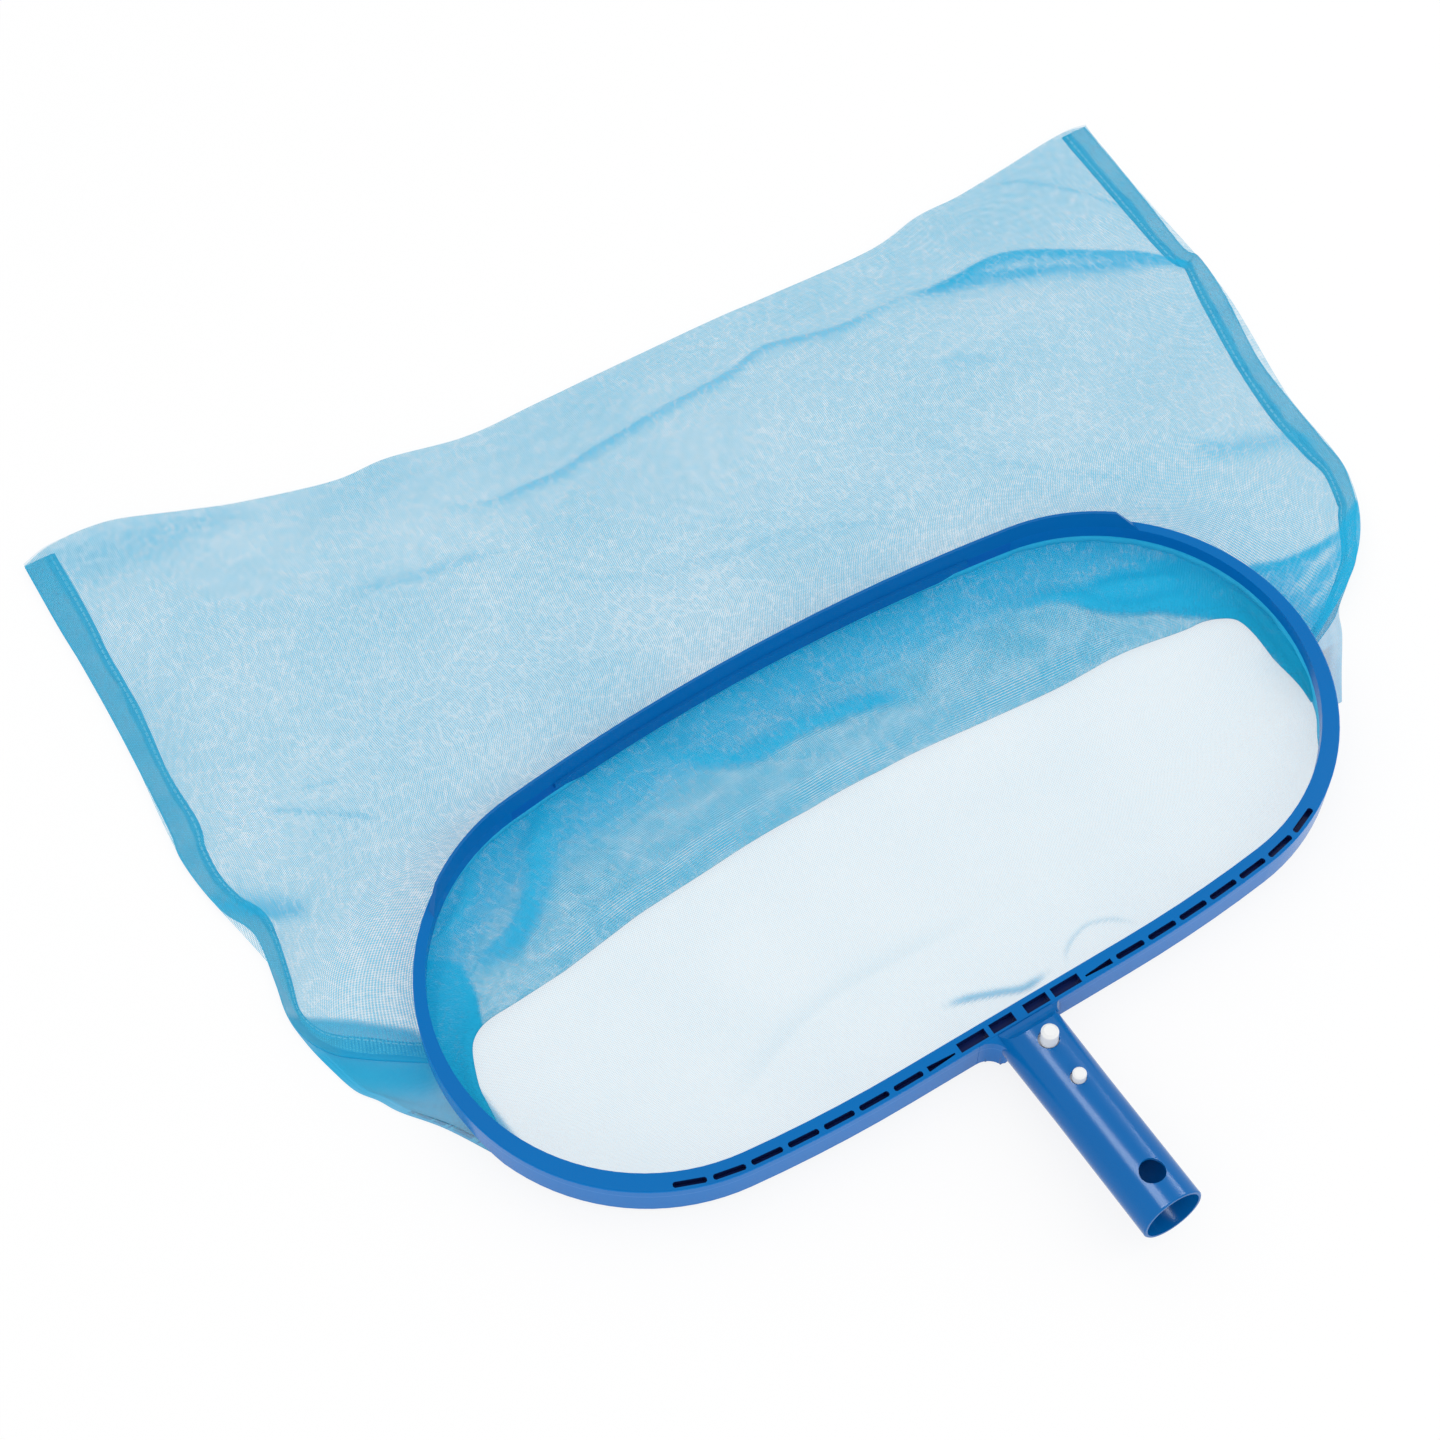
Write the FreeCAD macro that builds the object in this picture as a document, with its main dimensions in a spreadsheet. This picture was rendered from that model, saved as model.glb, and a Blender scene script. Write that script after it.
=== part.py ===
import FreeCAD, Part
import math
import os
import Sketcher
from FreeCAD import Placement, Rotation, Vector

# Leaf skimmer net with a deep mesh bag, lying on its back with the hoop level.
# Frame: origin at the centre of the shank's open mouth, +Z up, +Y from the shank towards the bag,
# +X along the long side of the hoop. The hoop and bag are drawn with the floor at zero height and
# the shank's parts along the tube, and each placement then moves a piece to that origin.

document = FreeCAD.newDocument("LeafSkimmerNet")
sheet = document.addObject("Spreadsheet::Sheet", "Sizes")

DRIVING_SIZES = {
    # hoop outline: a straight near side, a slight bow, two round ends and a bowed far side
    "near_outer_y": -53.8,
    "near_inner_y": -45.4,
    "half_straight": 56.0,
    "bow_radius": 650.0,
    "bow_angle": 6.5,
    "near_corner_radius": 97.5,
    "near_corner_angle": 83.5,
    "far_corner_radius": 99.3,
    "far_corner_angle": 82.5,
    "inner_near_corner": 91.5,
    "inner_far_corner": 92.8,
    # section of the rim
    "rim_bottom": 7.5,
    "rim_height": 13.0,
    "edge_bevel": 0.6,
    "skirt_depth": 5.0,
    "skirt_wall": 2.0,
    "skirt_slope_start": 12.0,
    "skirt_slope_end": 32.0,
    "groove_wall": 1.1,
    "groove_width": 1.9,
    "groove_depth": 8.0,
    "rebate_depth": 5.5,
    # pockets in the top of the near side
    "pocket_wall": 1.5,
    "pocket_width": 2.6,
    "pocket_corner": 0.7,
    "pocket_length": 13.9,
    "pocket_pitch": 16.5,
    "pocket_depth": 4.2,
    "pocket_count": 7,
    "taper_start": 32.6,
    "taper_end": 45.9,
    "taper_tip_width": 0.8,
    "wide_pocket_width": 4.5,
    "inner_wide_start": 2.7,
    "inner_wide_end": 14.2,
    "outer_wide_start": 16.5,
    "outer_wide_end": 30.1,
    # scoop lip on the far rim
    "lip_height": 8.0,
    "lip_base": 3.2,
    "lip_top": 1.3,
    "lip_lean": 1.7,
    "lip_half_span": 182.0,
    "lip_end_slope": 7.0,
    # strip that holds the hem in the far rim
    "strip_thickness": 1.4,
    "strip_bottom": 13.0,
    "strip_half_span": 107.0,
    "strip_end_taper": 14.0,
    "strip_end_height": 3.0,
    # shank
    "shank_radius": 14.0,
    "shank_wall": 1.5,
    "shank_length": 101.7,
    "straight_length": 61.0,
    "root_radius": 14.4,
    "shank_tilt": 5.0,
    "root_height": 15.1,
    "closed_end": 9.0,
    "shoulder_reach": 9.0,
    "shoulder_bulge": 1.5,
    "gusset_radius": 4.5,
    "mouth_chamfer": 0.5,
    "clip_hole_radius": 5.5,
    "clip_hole_place": 86.5,
    "button_hole_radius": 4.45,
    "pin_hole_radius": 3.45,
    "hole_lead": 0.45,
    # spring clip inside the shank
    "clip_width": 8.0,
    "clip_thickness": 2.2,
    "clip_reach": 11.75,
    "bow_place": 64.0,
    "hinge_gap": 0.15,
    "leg_start": 22.0,
    "lever_start": 12.0,
    "button_place": 17.0,
    "button_radius": 3.7,
    "button_height": 8.0,
    "button_bevel": 1.2,
    "pin_place": 37.5,
    "pin_radius": 2.9,
    "pin_height": 4.2,
    "pin_bevel": 0.7,
    # hem and cord in the groove
    "cord_diameter": 1.8,
    "hem_thickness": 1.5,
    "hem_top": 13.5,
    # bag, laid flat
    "mesh_thickness": 1.2,
    "passage_height": 6.3,
    "bag_height": 16.0,
    "bag_slope_run": 36.0,
    "crest_follow": 0.5,
    "rim_gap": 0.6,
    "panel_start": 20.0,
    "panel_tuck": 4.0,
    "bag_left_x": -251.0,
    "bag_right_x": 304.0,
    "bag_far_left_y": 372.0,
    "bag_far_middle_y": 328.0,
    "seam_width": 11.0,
    "seam_height": 3.0,
}

for row, (alias, value) in enumerate(DRIVING_SIZES.items(), start=1):
    sheet.set(f"A{row}", alias)
    sheet.set(f"B{row}", str(value))
    sheet.setAlias(f"B{row}", alias)
document.recompute()


def size(alias):
    return float(sheet.get(alias))


# Values worked out from the sheet

TILT = math.radians(size("shank_tilt"))
RIM_TOP = size("rim_bottom") + size("rim_height")
RIM_WALL = size("near_inner_y") - size("near_outer_y")
SHANK_BORE = size("shank_radius") - size("shank_wall")
MOUTH_Y = size("near_outer_y") - size("shank_length") * math.cos(TILT)
MOUTH_Z = size("root_height") + size("shank_length") * math.sin(TILT)
MOUTH_Y_TEXT = "Sizes.near_outer_y - Sizes.shank_length * cos(Sizes.shank_tilt)"
MOUTH_Z_TEXT = "Sizes.root_height + Sizes.shank_length * sin(Sizes.shank_tilt)"
RIM_TOP_TEXT = "Sizes.rim_bottom + Sizes.rim_height"
BODY_REACH = 400.0
CUT_DEPTH = 60.0


def place_in_frame(piece):
    """Moves a piece that is drawn round the hoop to the part's origin."""
    piece.Placement = Placement(Vector(0, -MOUTH_Y, -MOUTH_Z), Rotation())
    piece.setExpression("Placement.Base.y", f"-({MOUTH_Y_TEXT})")
    piece.setExpression("Placement.Base.z", f"-({MOUTH_Z_TEXT})")
    return piece


def place_on_shank(piece):
    """Moves a piece that is drawn along +Z, with its top at +Y, to the tilted tube."""
    turn = Rotation(Vector(1, 0, 0), 90.0 - size("shank_tilt"))
    reach = size("shank_length")
    piece.Placement = Placement(Vector(0, reach * math.cos(TILT), -reach * math.sin(TILT)), turn)
    piece.setExpression("Placement.Base.y", "Sizes.shank_length * cos(Sizes.shank_tilt)")
    piece.setExpression("Placement.Base.z", "-Sizes.shank_length * sin(Sizes.shank_tilt)")
    return piece


def arc_through(start, middle, end):
    """Arc through three points of a plane, always drawn anticlockwise as sketches do."""
    if (middle - start).cross(end - middle).z < 0:
        start, end = end, start
    return Part.Arc(start, middle, end)


# Outline of the hoop

class Outline:
    """Tangent arcs round the right half of the hoop, from the near side to the far side."""

    def __init__(self, near_y, bow, near_corner, far_corner, outward):
        self.start = Vector(size("half_straight"), near_y - outward, 0)
        self.arcs = []
        heading = 0.0
        point = self.start
        for radius, degrees in ((bow, size("bow_angle")), (near_corner, size("near_corner_angle")),
                                (far_corner, size("far_corner_angle"))):
            turn = math.radians(degrees)
            point = self.add_arc(point, heading, radius + outward, turn)
            heading += turn
        last_turn = math.pi - heading
        self.add_arc(point, heading, point.x / math.sin(last_turn), last_turn)

    def add_arc(self, point, heading, radius, turn):
        centre = point + Vector(-math.sin(heading), math.cos(heading), 0) * radius
        self.arcs.append((centre, radius, heading, turn))
        end = heading + turn
        return centre + Vector(math.sin(end), -math.cos(end), 0) * radius

    def arc(self, index, mirror=False):
        centre, radius, heading, turn = self.arcs[index]
        angles = [heading - math.pi / 2, heading + turn / 2 - math.pi / 2,
                  heading + turn - math.pi / 2]
        points = [centre + Vector(math.cos(a), math.sin(a), 0) * radius for a in angles]
        if mirror:
            points = [Vector(-p.x, p.y, 0) for p in points[::-1]]
        return arc_through(*points)

    @property
    def widest(self):
        """Point on the right where the outline runs straight away from the shank."""
        centre, radius = self.arcs[2][0], self.arcs[2][1]
        return Vector(centre.x + radius, centre.y, 0)

    def closed(self):
        """Near line, right arcs and left arcs, in order."""
        near = Part.LineSegment(Vector(-self.start.x, self.start.y, 0), self.start)
        right = [self.arc(index) for index in range(4)]
        left = [self.arc(index, mirror=True) for index in (3, 2, 1, 0)]
        return [near] + right + left

    def near_half(self):
        """Round the near side only, from the widest point on the left to that on the right."""
        near = Part.LineSegment(Vector(-self.start.x, self.start.y, 0), self.start)
        left = [self.arc(1, mirror=True), self.arc(0, mirror=True)]
        return left + [near, self.arc(0), self.arc(1)]

    def far_half(self):
        """Round the far side only, from the widest point on the right to that on the left."""
        return [self.arc(2), self.arc(3), self.arc(3, mirror=True), self.arc(2, mirror=True)]

    def face(self, height):
        wire = Part.Wire([element.toShape() for element in self.closed()])
        wire.translate(Vector(0, 0, height))
        return Part.Face(wire)

    def along(self, distance):
        """Point and heading on the right at a distance from the middle of the near side."""
        left = distance - self.start.x
        for centre, radius, heading, turn in self.arcs:
            if left <= radius * turn:
                angle = heading + left / radius
                return centre + Vector(math.sin(angle), -math.cos(angle), 0) * radius, angle
            left -= radius * turn
        raise ValueError("the distance runs past the far side")


def outer_outline(outward=0.0):
    return Outline(size("near_outer_y"), size("bow_radius"), size("near_corner_radius"),
                   size("far_corner_radius"), outward)


def inner_outline(outward=0.0):
    return Outline(size("near_inner_y"), size("bow_radius") - RIM_WALL,
                   size("inner_near_corner"), size("inner_far_corner"), outward)


def groove_line(outward=0.0):
    """Middle of the groove under the rim, or a line beside it."""
    return inner_outline(size("groove_wall") + size("groove_width") / 2 + outward)


# Bodies, sketches and features

def new_body(name):
    body = document.addObject("PartDesign::Body", name)
    body.Label = name
    return body


def new_sketch(body, name, role, offset=None):
    """Sketch on one of the body's own planes, moved along its normal by an expression."""
    sketch = body.newObject("Sketcher::SketchObject", name)
    plane = next(item for item in body.Origin.OriginFeatures if item.Role == role)
    sketch.AttachmentSupport = [(plane, "")]
    sketch.MapMode = "FlatFace"
    if offset:
        sketch.setExpression("AttachmentOffset.Base.z", offset)
    return sketch


def element_ends(element):
    return {1: element.value(element.FirstParameter), 2: element.value(element.LastParameter)}


def add_run(sketch, elements, closed=True):
    """Adds a run of lines and arcs and joins each to the next."""
    first = sketch.GeometryCount
    run = list(elements)
    for element in run:
        sketch.addGeometry(element, False)
    for index in range(len(run) if closed else len(run) - 1):
        following = (index + 1) % len(run)
        here, there = element_ends(run[index]), element_ends(run[following])
        joins = [(a, b) for a in here for b in there if here[a].distanceToPoint(there[b]) < 1e-5]
        end, start = joins[0]
        sketch.addConstraint(Sketcher.Constraint("Coincident", first + index, end,
                                                 first + following, start))
    return first


def bind_radius(sketch, index, name, text, value):
    constraint = sketch.addConstraint(Sketcher.Constraint("Radius", index, value))
    sketch.renameConstraint(constraint, name)
    sketch.setExpression(f"Constraints.{name}", text)


def polygon(points):
    corners = [Vector(x, y, 0) for x, y in points]
    return [Part.LineSegment(a, b) for a, b in zip(corners, corners[1:] + corners[:1])]


def circle_sketch(body, name, role, circles, offset=None):
    """Circles, each given as x, y and the alias of its radius."""
    sketch = new_sketch(body, name, role, offset)
    for index, (x, y, alias) in enumerate(circles):
        circle = Part.Circle(Vector(x, y, 0), Vector(0, 0, 1), size(alias))
        sketch.addGeometry(circle, False)
        bind_radius(sketch, index, f"radius_{index}", f"Sizes.{alias}", size(alias))
    return sketch


def add_pad(body, name, sketch, length, reverse=False, midplane=False):
    pad = body.newObject("PartDesign::Pad", name)
    pad.Profile = sketch
    pad.Reversed = reverse
    pad.Midplane = midplane
    pad.setExpression("Length", length)
    document.recompute()
    return pad


def add_pocket(body, name, sketch, length, reverse=False, midplane=False):
    """Cuts a pocket and makes sure that it took material away."""
    document.recompute()
    before = body.Shape.Volume
    pocket = body.newObject("PartDesign::Pocket", name)
    pocket.Profile = sketch
    pocket.Reversed = reverse
    pocket.Midplane = midplane
    pocket.setExpression("Length", length)
    document.recompute()
    if body.Shape.Volume > before - 1.0:
        raise RuntimeError(f"{name} cuts nothing")
    return pocket


def add_pipe(body, name, path, section):
    document.recompute()
    pipe = body.newObject("PartDesign::AdditivePipe", name)
    pipe.Profile = section
    pipe.Spine = path
    document.recompute()
    return pipe


def bevel_edges(body, name, wanted, alias):
    """Bevels the edges of the body's tip that the test picks."""
    tip = body.Tip
    edges = [f"Edge{index}" for index, edge in enumerate(tip.Shape.Edges, start=1) if wanted(edge)]
    if not edges:
        raise RuntimeError(f"{name} finds no edges")
    bevel = body.newObject("PartDesign::Chamfer", name)
    bevel.Base = (tip, edges)
    bevel.setExpression("Size", f"Sizes.{alias}")
    document.recompute()
    return bevel


# Rim moulding, with its pockets and the groove for the hem

def pocket_outline(point, heading):
    """Narrow pocket with its corners cut, anticlockwise."""
    along = Vector(math.cos(heading), math.sin(heading), 0)
    across = Vector(-along.y, along.x, 0)
    reach, half, cut = size("pocket_length") / 2, size("pocket_width") / 2, size("pocket_corner")
    quarter = [(reach, half - cut), (reach - cut, half)]
    corners = quarter + [(-a, b) for a, b in quarter[::-1]]
    corners += [(-a, -b) for a, b in corners]
    places = [point + along * a + across * b for a, b in corners]
    return polygon([(place.x, place.y) for place in places])


def make_frame_hoop():
    body = new_body("frame_hoop")
    outline = new_sketch(body, "hoop_outline", "XY_Plane", "Sizes.rim_bottom")
    corners = {"outer": (outer_outline(), ("near_corner_radius", "far_corner_radius")),
               "inner": (inner_outline(), ("inner_near_corner", "inner_far_corner"))}
    for tag, (loop, aliases) in corners.items():
        first = add_run(outline, loop.closed())
        for corner, alias in zip((2, 3), aliases):
            text = f"Sizes.{alias}"
            bind_radius(outline, first + corner, f"{tag}_right_{corner}", text, size(alias))
            bind_radius(outline, first + 9 - corner, f"{tag}_left_{corner}", text, size(alias))
    add_pad(body, "rim", outline, "Sizes.rim_height")

    # the outer wall reaches lower on the near half and slopes back up at the hoop's ends
    skirt = new_sketch(body, "skirt_outline", "XY_Plane", "Sizes.rim_bottom - Sizes.skirt_depth")
    add_run(skirt, outer_outline().closed())
    add_run(skirt, outer_outline(-size("skirt_wall")).closed())
    add_pad(body, "skirt", skirt, "Sizes.skirt_depth + Sizes.skirt_wall")
    low, high = size("rim_bottom") - size("skirt_depth"), size("rim_bottom")
    side_view = new_sketch(body, "skirt_side_view", "YZ_Plane")
    add_run(side_view, polygon([(size("skirt_slope_start"), low - 1),
                                (BODY_REACH, low - 1), (BODY_REACH, high),
                                (size("skirt_slope_end"), high),
                                (size("skirt_slope_start"), low)]))
    add_pocket(body, "skirt_ends", side_view, f"{2 * BODY_REACH}", midplane=True)

    # under the rim, the inner wall stops short so that the hem shows below it
    rebate = new_sketch(body, "rebate_outline", "XY_Plane", "Sizes.rim_bottom")
    add_run(rebate, groove_line().closed())
    add_run(rebate, inner_outline(-size("groove_wall")).closed())
    add_pocket(body, "hem_rebate", rebate, "Sizes.rebate_depth", reverse=True)
    groove = new_sketch(body, "groove_outline", "XY_Plane", "Sizes.rim_bottom")
    add_run(groove, groove_line(size("groove_width") / 2).closed())
    add_run(groove, groove_line(-size("groove_width") / 2).closed())
    add_pocket(body, "hem_groove", groove, "Sizes.groove_depth", reverse=True)

    pockets = new_sketch(body, "pocket_outline", "XY_Plane", RIM_TOP_TEXT)
    centre_line = outer_outline(-size("pocket_wall") - size("pocket_width") / 2)
    first_middle = size("taper_end") + size("pocket_pitch") - size("pocket_length") / 2
    for index in range(int(size("pocket_count"))):
        point, heading = centre_line.along(first_middle + index * size("pocket_pitch"))
        for side in (1, -1):
            middle = Vector(side * point.x, point.y, 0)
            add_run(pockets, pocket_outline(middle, side * heading))
    wall_y = size("near_outer_y") + size("pocket_wall")
    back_y = wall_y + size("pocket_width")
    middle_y = (wall_y + back_y) / 2
    tip = size("taper_tip_width") / 2
    shapes = [[(size("taper_start"), middle_y - tip), (size("taper_end"), wall_y),
               (size("taper_end"), back_y), (size("taper_start"), middle_y + tip)]]
    for name in ("inner", "outer"):
        start, end = size(f"{name}_wide_start"), size(f"{name}_wide_end")
        wide_back = wall_y + size("wide_pocket_width")
        shapes.append([(start, wall_y), (end, wall_y), (end, wide_back), (start, wide_back)])
    for shape in shapes:
        add_run(pockets, polygon(shape))
        add_run(pockets, polygon([(-x, y) for x, y in shape[::-1]]))
    add_pocket(body, "top_pockets", pockets, "Sizes.pocket_depth")

    outer_edge = outer_outline().face(RIM_TOP).OuterWire

    def on_outer_top(edge):
        middle = edge.valueAt((edge.FirstParameter + edge.LastParameter) / 2)
        near_edge = outer_edge.distToShape(Part.Vertex(middle))[0] < 1e-3
        return near_edge and abs(middle.z - RIM_TOP) < 1e-4

    bevel_edges(body, "outer_edge", on_outer_top, "edge_bevel")
    return place_in_frame(body)


# Shank: a tube with a closed, sloping end against the rim

def make_pole_shank():
    body = new_body("pole_shank")
    radius = size("shank_radius")
    flare_length = "Sizes.shank_length - Sizes.straight_length"
    for name, length in (("barrel", "Sizes.straight_length"), ("flare", flare_length)):
        circle = circle_sketch(body, f"{name}_circle", "XY_Plane", [(0, 0, "shank_radius")],
                               flare_length)
        pad = add_pad(body, name, circle, length, reverse=name == "flare")
    pad.setExpression("Length", f"{flare_length} + 2 * Sizes.shank_radius * tan(Sizes.shank_tilt)")
    pad.setExpression("TaperAngle",
                      f"atan((Sizes.root_radius - Sizes.shank_radius) / ({flare_length}))")

    # small gussets blend the tube into the rim's wall, as high as the rim
    fillet, side = size("gusset_radius"), size("root_radius")
    wall_x = side + fillet
    lean = fillet * (1 - math.sqrt(0.5))
    right_arc = arc_through(Vector(wall_x, 0, 0), Vector(side + lean, lean, 0),
                            Vector(side, fillet, 0))
    left_arc = arc_through(Vector(-side, fillet, 0), Vector(-side - lean, lean, 0),
                           Vector(-wall_x, 0, 0))
    below = Vector(wall_x, -lean, 0)
    plan = [Part.LineSegment(Vector(-wall_x, -lean, 0), below),
            Part.LineSegment(below, Vector(wall_x, 0, 0)), right_arc,
            Part.LineSegment(Vector(side, fillet, 0), Vector(-side, fillet, 0)), left_arc,
            Part.LineSegment(Vector(-wall_x, 0, 0), Vector(-wall_x, -lean, 0))]
    gussets = new_sketch(body, "gusset_plan", "XZ_Plane",
                         "Sizes.root_height - Sizes.rim_bottom + Sizes.skirt_depth")
    add_run(gussets, plan)
    add_pad(body, "gussets", gussets,
            "Sizes.rim_height + Sizes.skirt_depth - Sizes.edge_bevel", reverse=True)

    # seen from the side, the tube stops at the rim's wall and its top rises to a round shoulder
    step_height = (RIM_TOP - size("root_height")) / math.cos(TILT)
    step = Vector(step_height, step_height * math.tan(TILT), 0)
    crown = Vector(size("root_radius"), size("shoulder_reach"), 0)
    bottom = -size("root_radius") - 1
    low = Vector(bottom, bottom * math.tan(TILT), 0)
    back = 3 * bottom * math.tan(TILT)
    chord = (crown - step).normalize()
    bulge = (step + crown) / 2 + Vector(chord.y, -chord.x, 0) * -size("shoulder_bulge")
    side_view = [Part.LineSegment(low, step), arc_through(step, bulge, crown)]
    outside = [crown, Vector(-bottom, crown.y, 0), Vector(-bottom, back, 0),
               Vector(bottom, back, 0), low]
    side_view += [Part.LineSegment(a, b) for a, b in zip(outside, outside[1:])]
    root = new_sketch(body, "root_side_view", "YZ_Plane")
    add_run(root, side_view)
    add_pocket(body, "root_cut", root, "3 * Sizes.shank_radius", midplane=True)

    bore = new_sketch(body, "bore_circle", "XY_Plane", "Sizes.shank_length")
    bore.addGeometry(Part.Circle(Vector(0, 0, 0), Vector(0, 0, 1), SHANK_BORE), False)
    bind_radius(bore, 0, "bore_radius", "Sizes.shank_radius - Sizes.shank_wall", SHANK_BORE)
    add_pocket(body, "bore", bore, "Sizes.shank_length - Sizes.closed_end")

    clip_hole = circle_sketch(body, "clip_hole_circle", "XZ_Plane",
                              [(0, size("clip_hole_place"), "clip_hole_radius")])
    add_pocket(body, "clip_hole", clip_hole, "3 * Sizes.shank_radius", midplane=True)

    lead = size("hole_lead")
    latch_holes = circle_sketch(body, "latch_hole_circles", "XZ_Plane",
                                [(0, size("button_place") - lead, "button_hole_radius"),
                                 (0, size("pin_place") - lead, "pin_hole_radius")])
    add_pocket(body, "latch_holes", latch_holes, "2 * Sizes.shank_radius")

    def on_mouth(edge):
        at_mouth = all(abs(v.Z - size("shank_length")) < 1e-4 for v in edge.Vertexes)
        return at_mouth and abs(edge.Curve.Radius - radius) < 1e-4

    bevel_edges(body, "mouth_edge", on_mouth, "mouth_chamfer")
    return place_on_shank(body)


# Blade and strip that follow the far rim

def far_rim_sweep(body, name, section_points):
    """Sweeps a section, drawn where the inner wall is widest, round the far half of the rim."""
    line = inner_outline()
    path = new_sketch(body, f"{name}_path", "XY_Plane")
    add_run(path, line.far_half(), closed=False)
    section = new_sketch(body, f"{name}_section", "XZ_Plane", f"{-line.widest.y}")
    add_run(section, polygon([(line.widest.x + out, height) for out, height in section_points]))
    return add_pipe(body, name, path, section)


def trim_ends(body, name, right_end):
    """Cuts away what lies beyond the ends, each given as a line of points up its right end."""
    outside, low, high = BODY_REACH, right_end[0][1], right_end[-1][1]
    view = new_sketch(body, f"{name}_view", "XZ_Plane")
    beyond = right_end + [(outside, high), (outside, low)]
    add_run(view, polygon(beyond))
    add_run(view, polygon([(-x, z) for x, z in beyond[::-1]]))
    add_pocket(body, name, view, f"{2 * BODY_REACH}", midplane=True)


def make_scoop_lip():
    body = new_body("scoop_lip")
    top = RIM_TOP + size("lip_height")
    lean, tip = size("lip_lean"), size("lip_top")
    far_rim_sweep(body, "blade", [(0, RIM_TOP), (size("lip_base"), RIM_TOP),
                                  (lean + tip, top), (lean, top)])
    span, slope = size("lip_half_span"), size("lip_end_slope")
    trim_ends(body, "sloped_ends", [(span, RIM_TOP - 1), (span, RIM_TOP),
                                    (span - slope, top), (span - slope, top + 1)])
    return place_in_frame(body)


def make_hem_strip():
    body = new_body("hem_strip")
    low, thickness = size("strip_bottom"), size("strip_thickness")
    far_rim_sweep(body, "strip", [(-thickness, low), (0, low), (0, RIM_TOP),
                                  (-thickness, RIM_TOP)])
    span, taper = size("strip_half_span"), size("strip_end_taper")
    trim_ends(body, "tapered_ends", [(span - taper, low - 1), (span - taper, low),
                                     (span, RIM_TOP - size("strip_end_height")),
                                     (span, RIM_TOP + 1)])
    return place_in_frame(body)


# Spring clip: a fixed leg with its bow, and the lever that the thumb presses

def make_clip_leg():
    body = new_body("clip_leg")
    outside = size("clip_reach")
    inside = outside - size("clip_thickness")
    bow, start = size("bow_place"), size("leg_start")
    corners = [Vector(-outside, start, 0), Vector(-outside, bow, 0), Vector(outside, bow, 0),
               Vector(inside, bow, 0), Vector(-inside, bow, 0), Vector(-inside, start, 0)]
    side_view = [
        Part.LineSegment(corners[0], corners[1]),
        arc_through(corners[1], Vector(0, bow + outside, 0), corners[2]),
        Part.LineSegment(corners[2], corners[3]),
        arc_through(corners[3], Vector(0, bow + inside, 0), corners[4]),
        Part.LineSegment(corners[4], corners[5]),
        Part.LineSegment(corners[5], corners[0]),
    ]
    section = new_sketch(body, "leg_side_view", "YZ_Plane")
    add_run(section, side_view)
    bind_radius(section, 1, "bow_outside", "Sizes.clip_reach", outside)
    bind_radius(section, 3, "bow_inside", "Sizes.clip_reach - Sizes.clip_thickness", inside)
    add_pad(body, "bent_leg", section, "Sizes.clip_width", midplane=True)
    return place_on_shank(body)


def make_latch_lever():
    body = new_body("latch_lever")
    outside = size("clip_reach")
    inside = outside - size("clip_thickness")
    knuckle = size("clip_thickness") / 2
    pivot = size("bow_place") - size("hinge_gap") - knuckle
    start = size("lever_start")
    side_view = [
        Part.LineSegment(Vector(inside, start, 0), Vector(inside, pivot, 0)),
        arc_through(Vector(inside, pivot, 0), Vector(inside + knuckle, pivot + knuckle, 0),
                 Vector(outside, pivot, 0)),
        Part.LineSegment(Vector(outside, pivot, 0), Vector(outside, start, 0)),
        Part.LineSegment(Vector(outside, start, 0), Vector(inside, start, 0)),
    ]
    arm = new_sketch(body, "arm_side_view", "YZ_Plane")
    add_run(arm, side_view)
    add_pad(body, "arm", arm, "Sizes.clip_width", midplane=True)

    # each peg grows from inside the arm and ends in a bevelled head above the tube
    for peg in ("button", "pin"):
        outline = circle_sketch(body, f"{peg}_circle", "XZ_Plane",
                                [(0, size(f"{peg}_place"), f"{peg}_radius")],
                                "-(Sizes.clip_reach - Sizes.clip_thickness / 2)")
        rise = "Sizes.shank_radius - Sizes.clip_reach + Sizes.clip_thickness / 2"
        add_pad(body, peg, outline, f"{rise} + Sizes.{peg}_height", reverse=True)
        head = size("shank_radius") + size(f"{peg}_height")

        def on_head(edge, height=head):
            return all(abs(v.Y - height) < 1e-4 for v in edge.Vertexes)

        bevel_edges(body, f"{peg}_head", on_head, f"{peg}_bevel")
    return place_on_shank(body)


# Hem of the net in the groove, with its cord above it

def make_hem_cord():
    body = new_body("hem_cord")
    line = groove_line()
    radius = size("cord_diameter") / 2
    path = new_sketch(body, "cord_path", "XY_Plane", "Sizes.hem_top + Sizes.cord_diameter / 2")
    add_run(path, line.closed())
    section = new_sketch(body, "cord_section", "YZ_Plane", f"{-line.start.x}")
    turns = [math.pi / 3 * index for index in range(6)]
    add_run(section, polygon([(line.start.y + radius * math.cos(turn),
                               size("hem_top") + radius * (1 + math.sin(turn)))
                              for turn in turns]))
    add_pipe(body, "cord", path, section)
    return place_in_frame(body)


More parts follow.
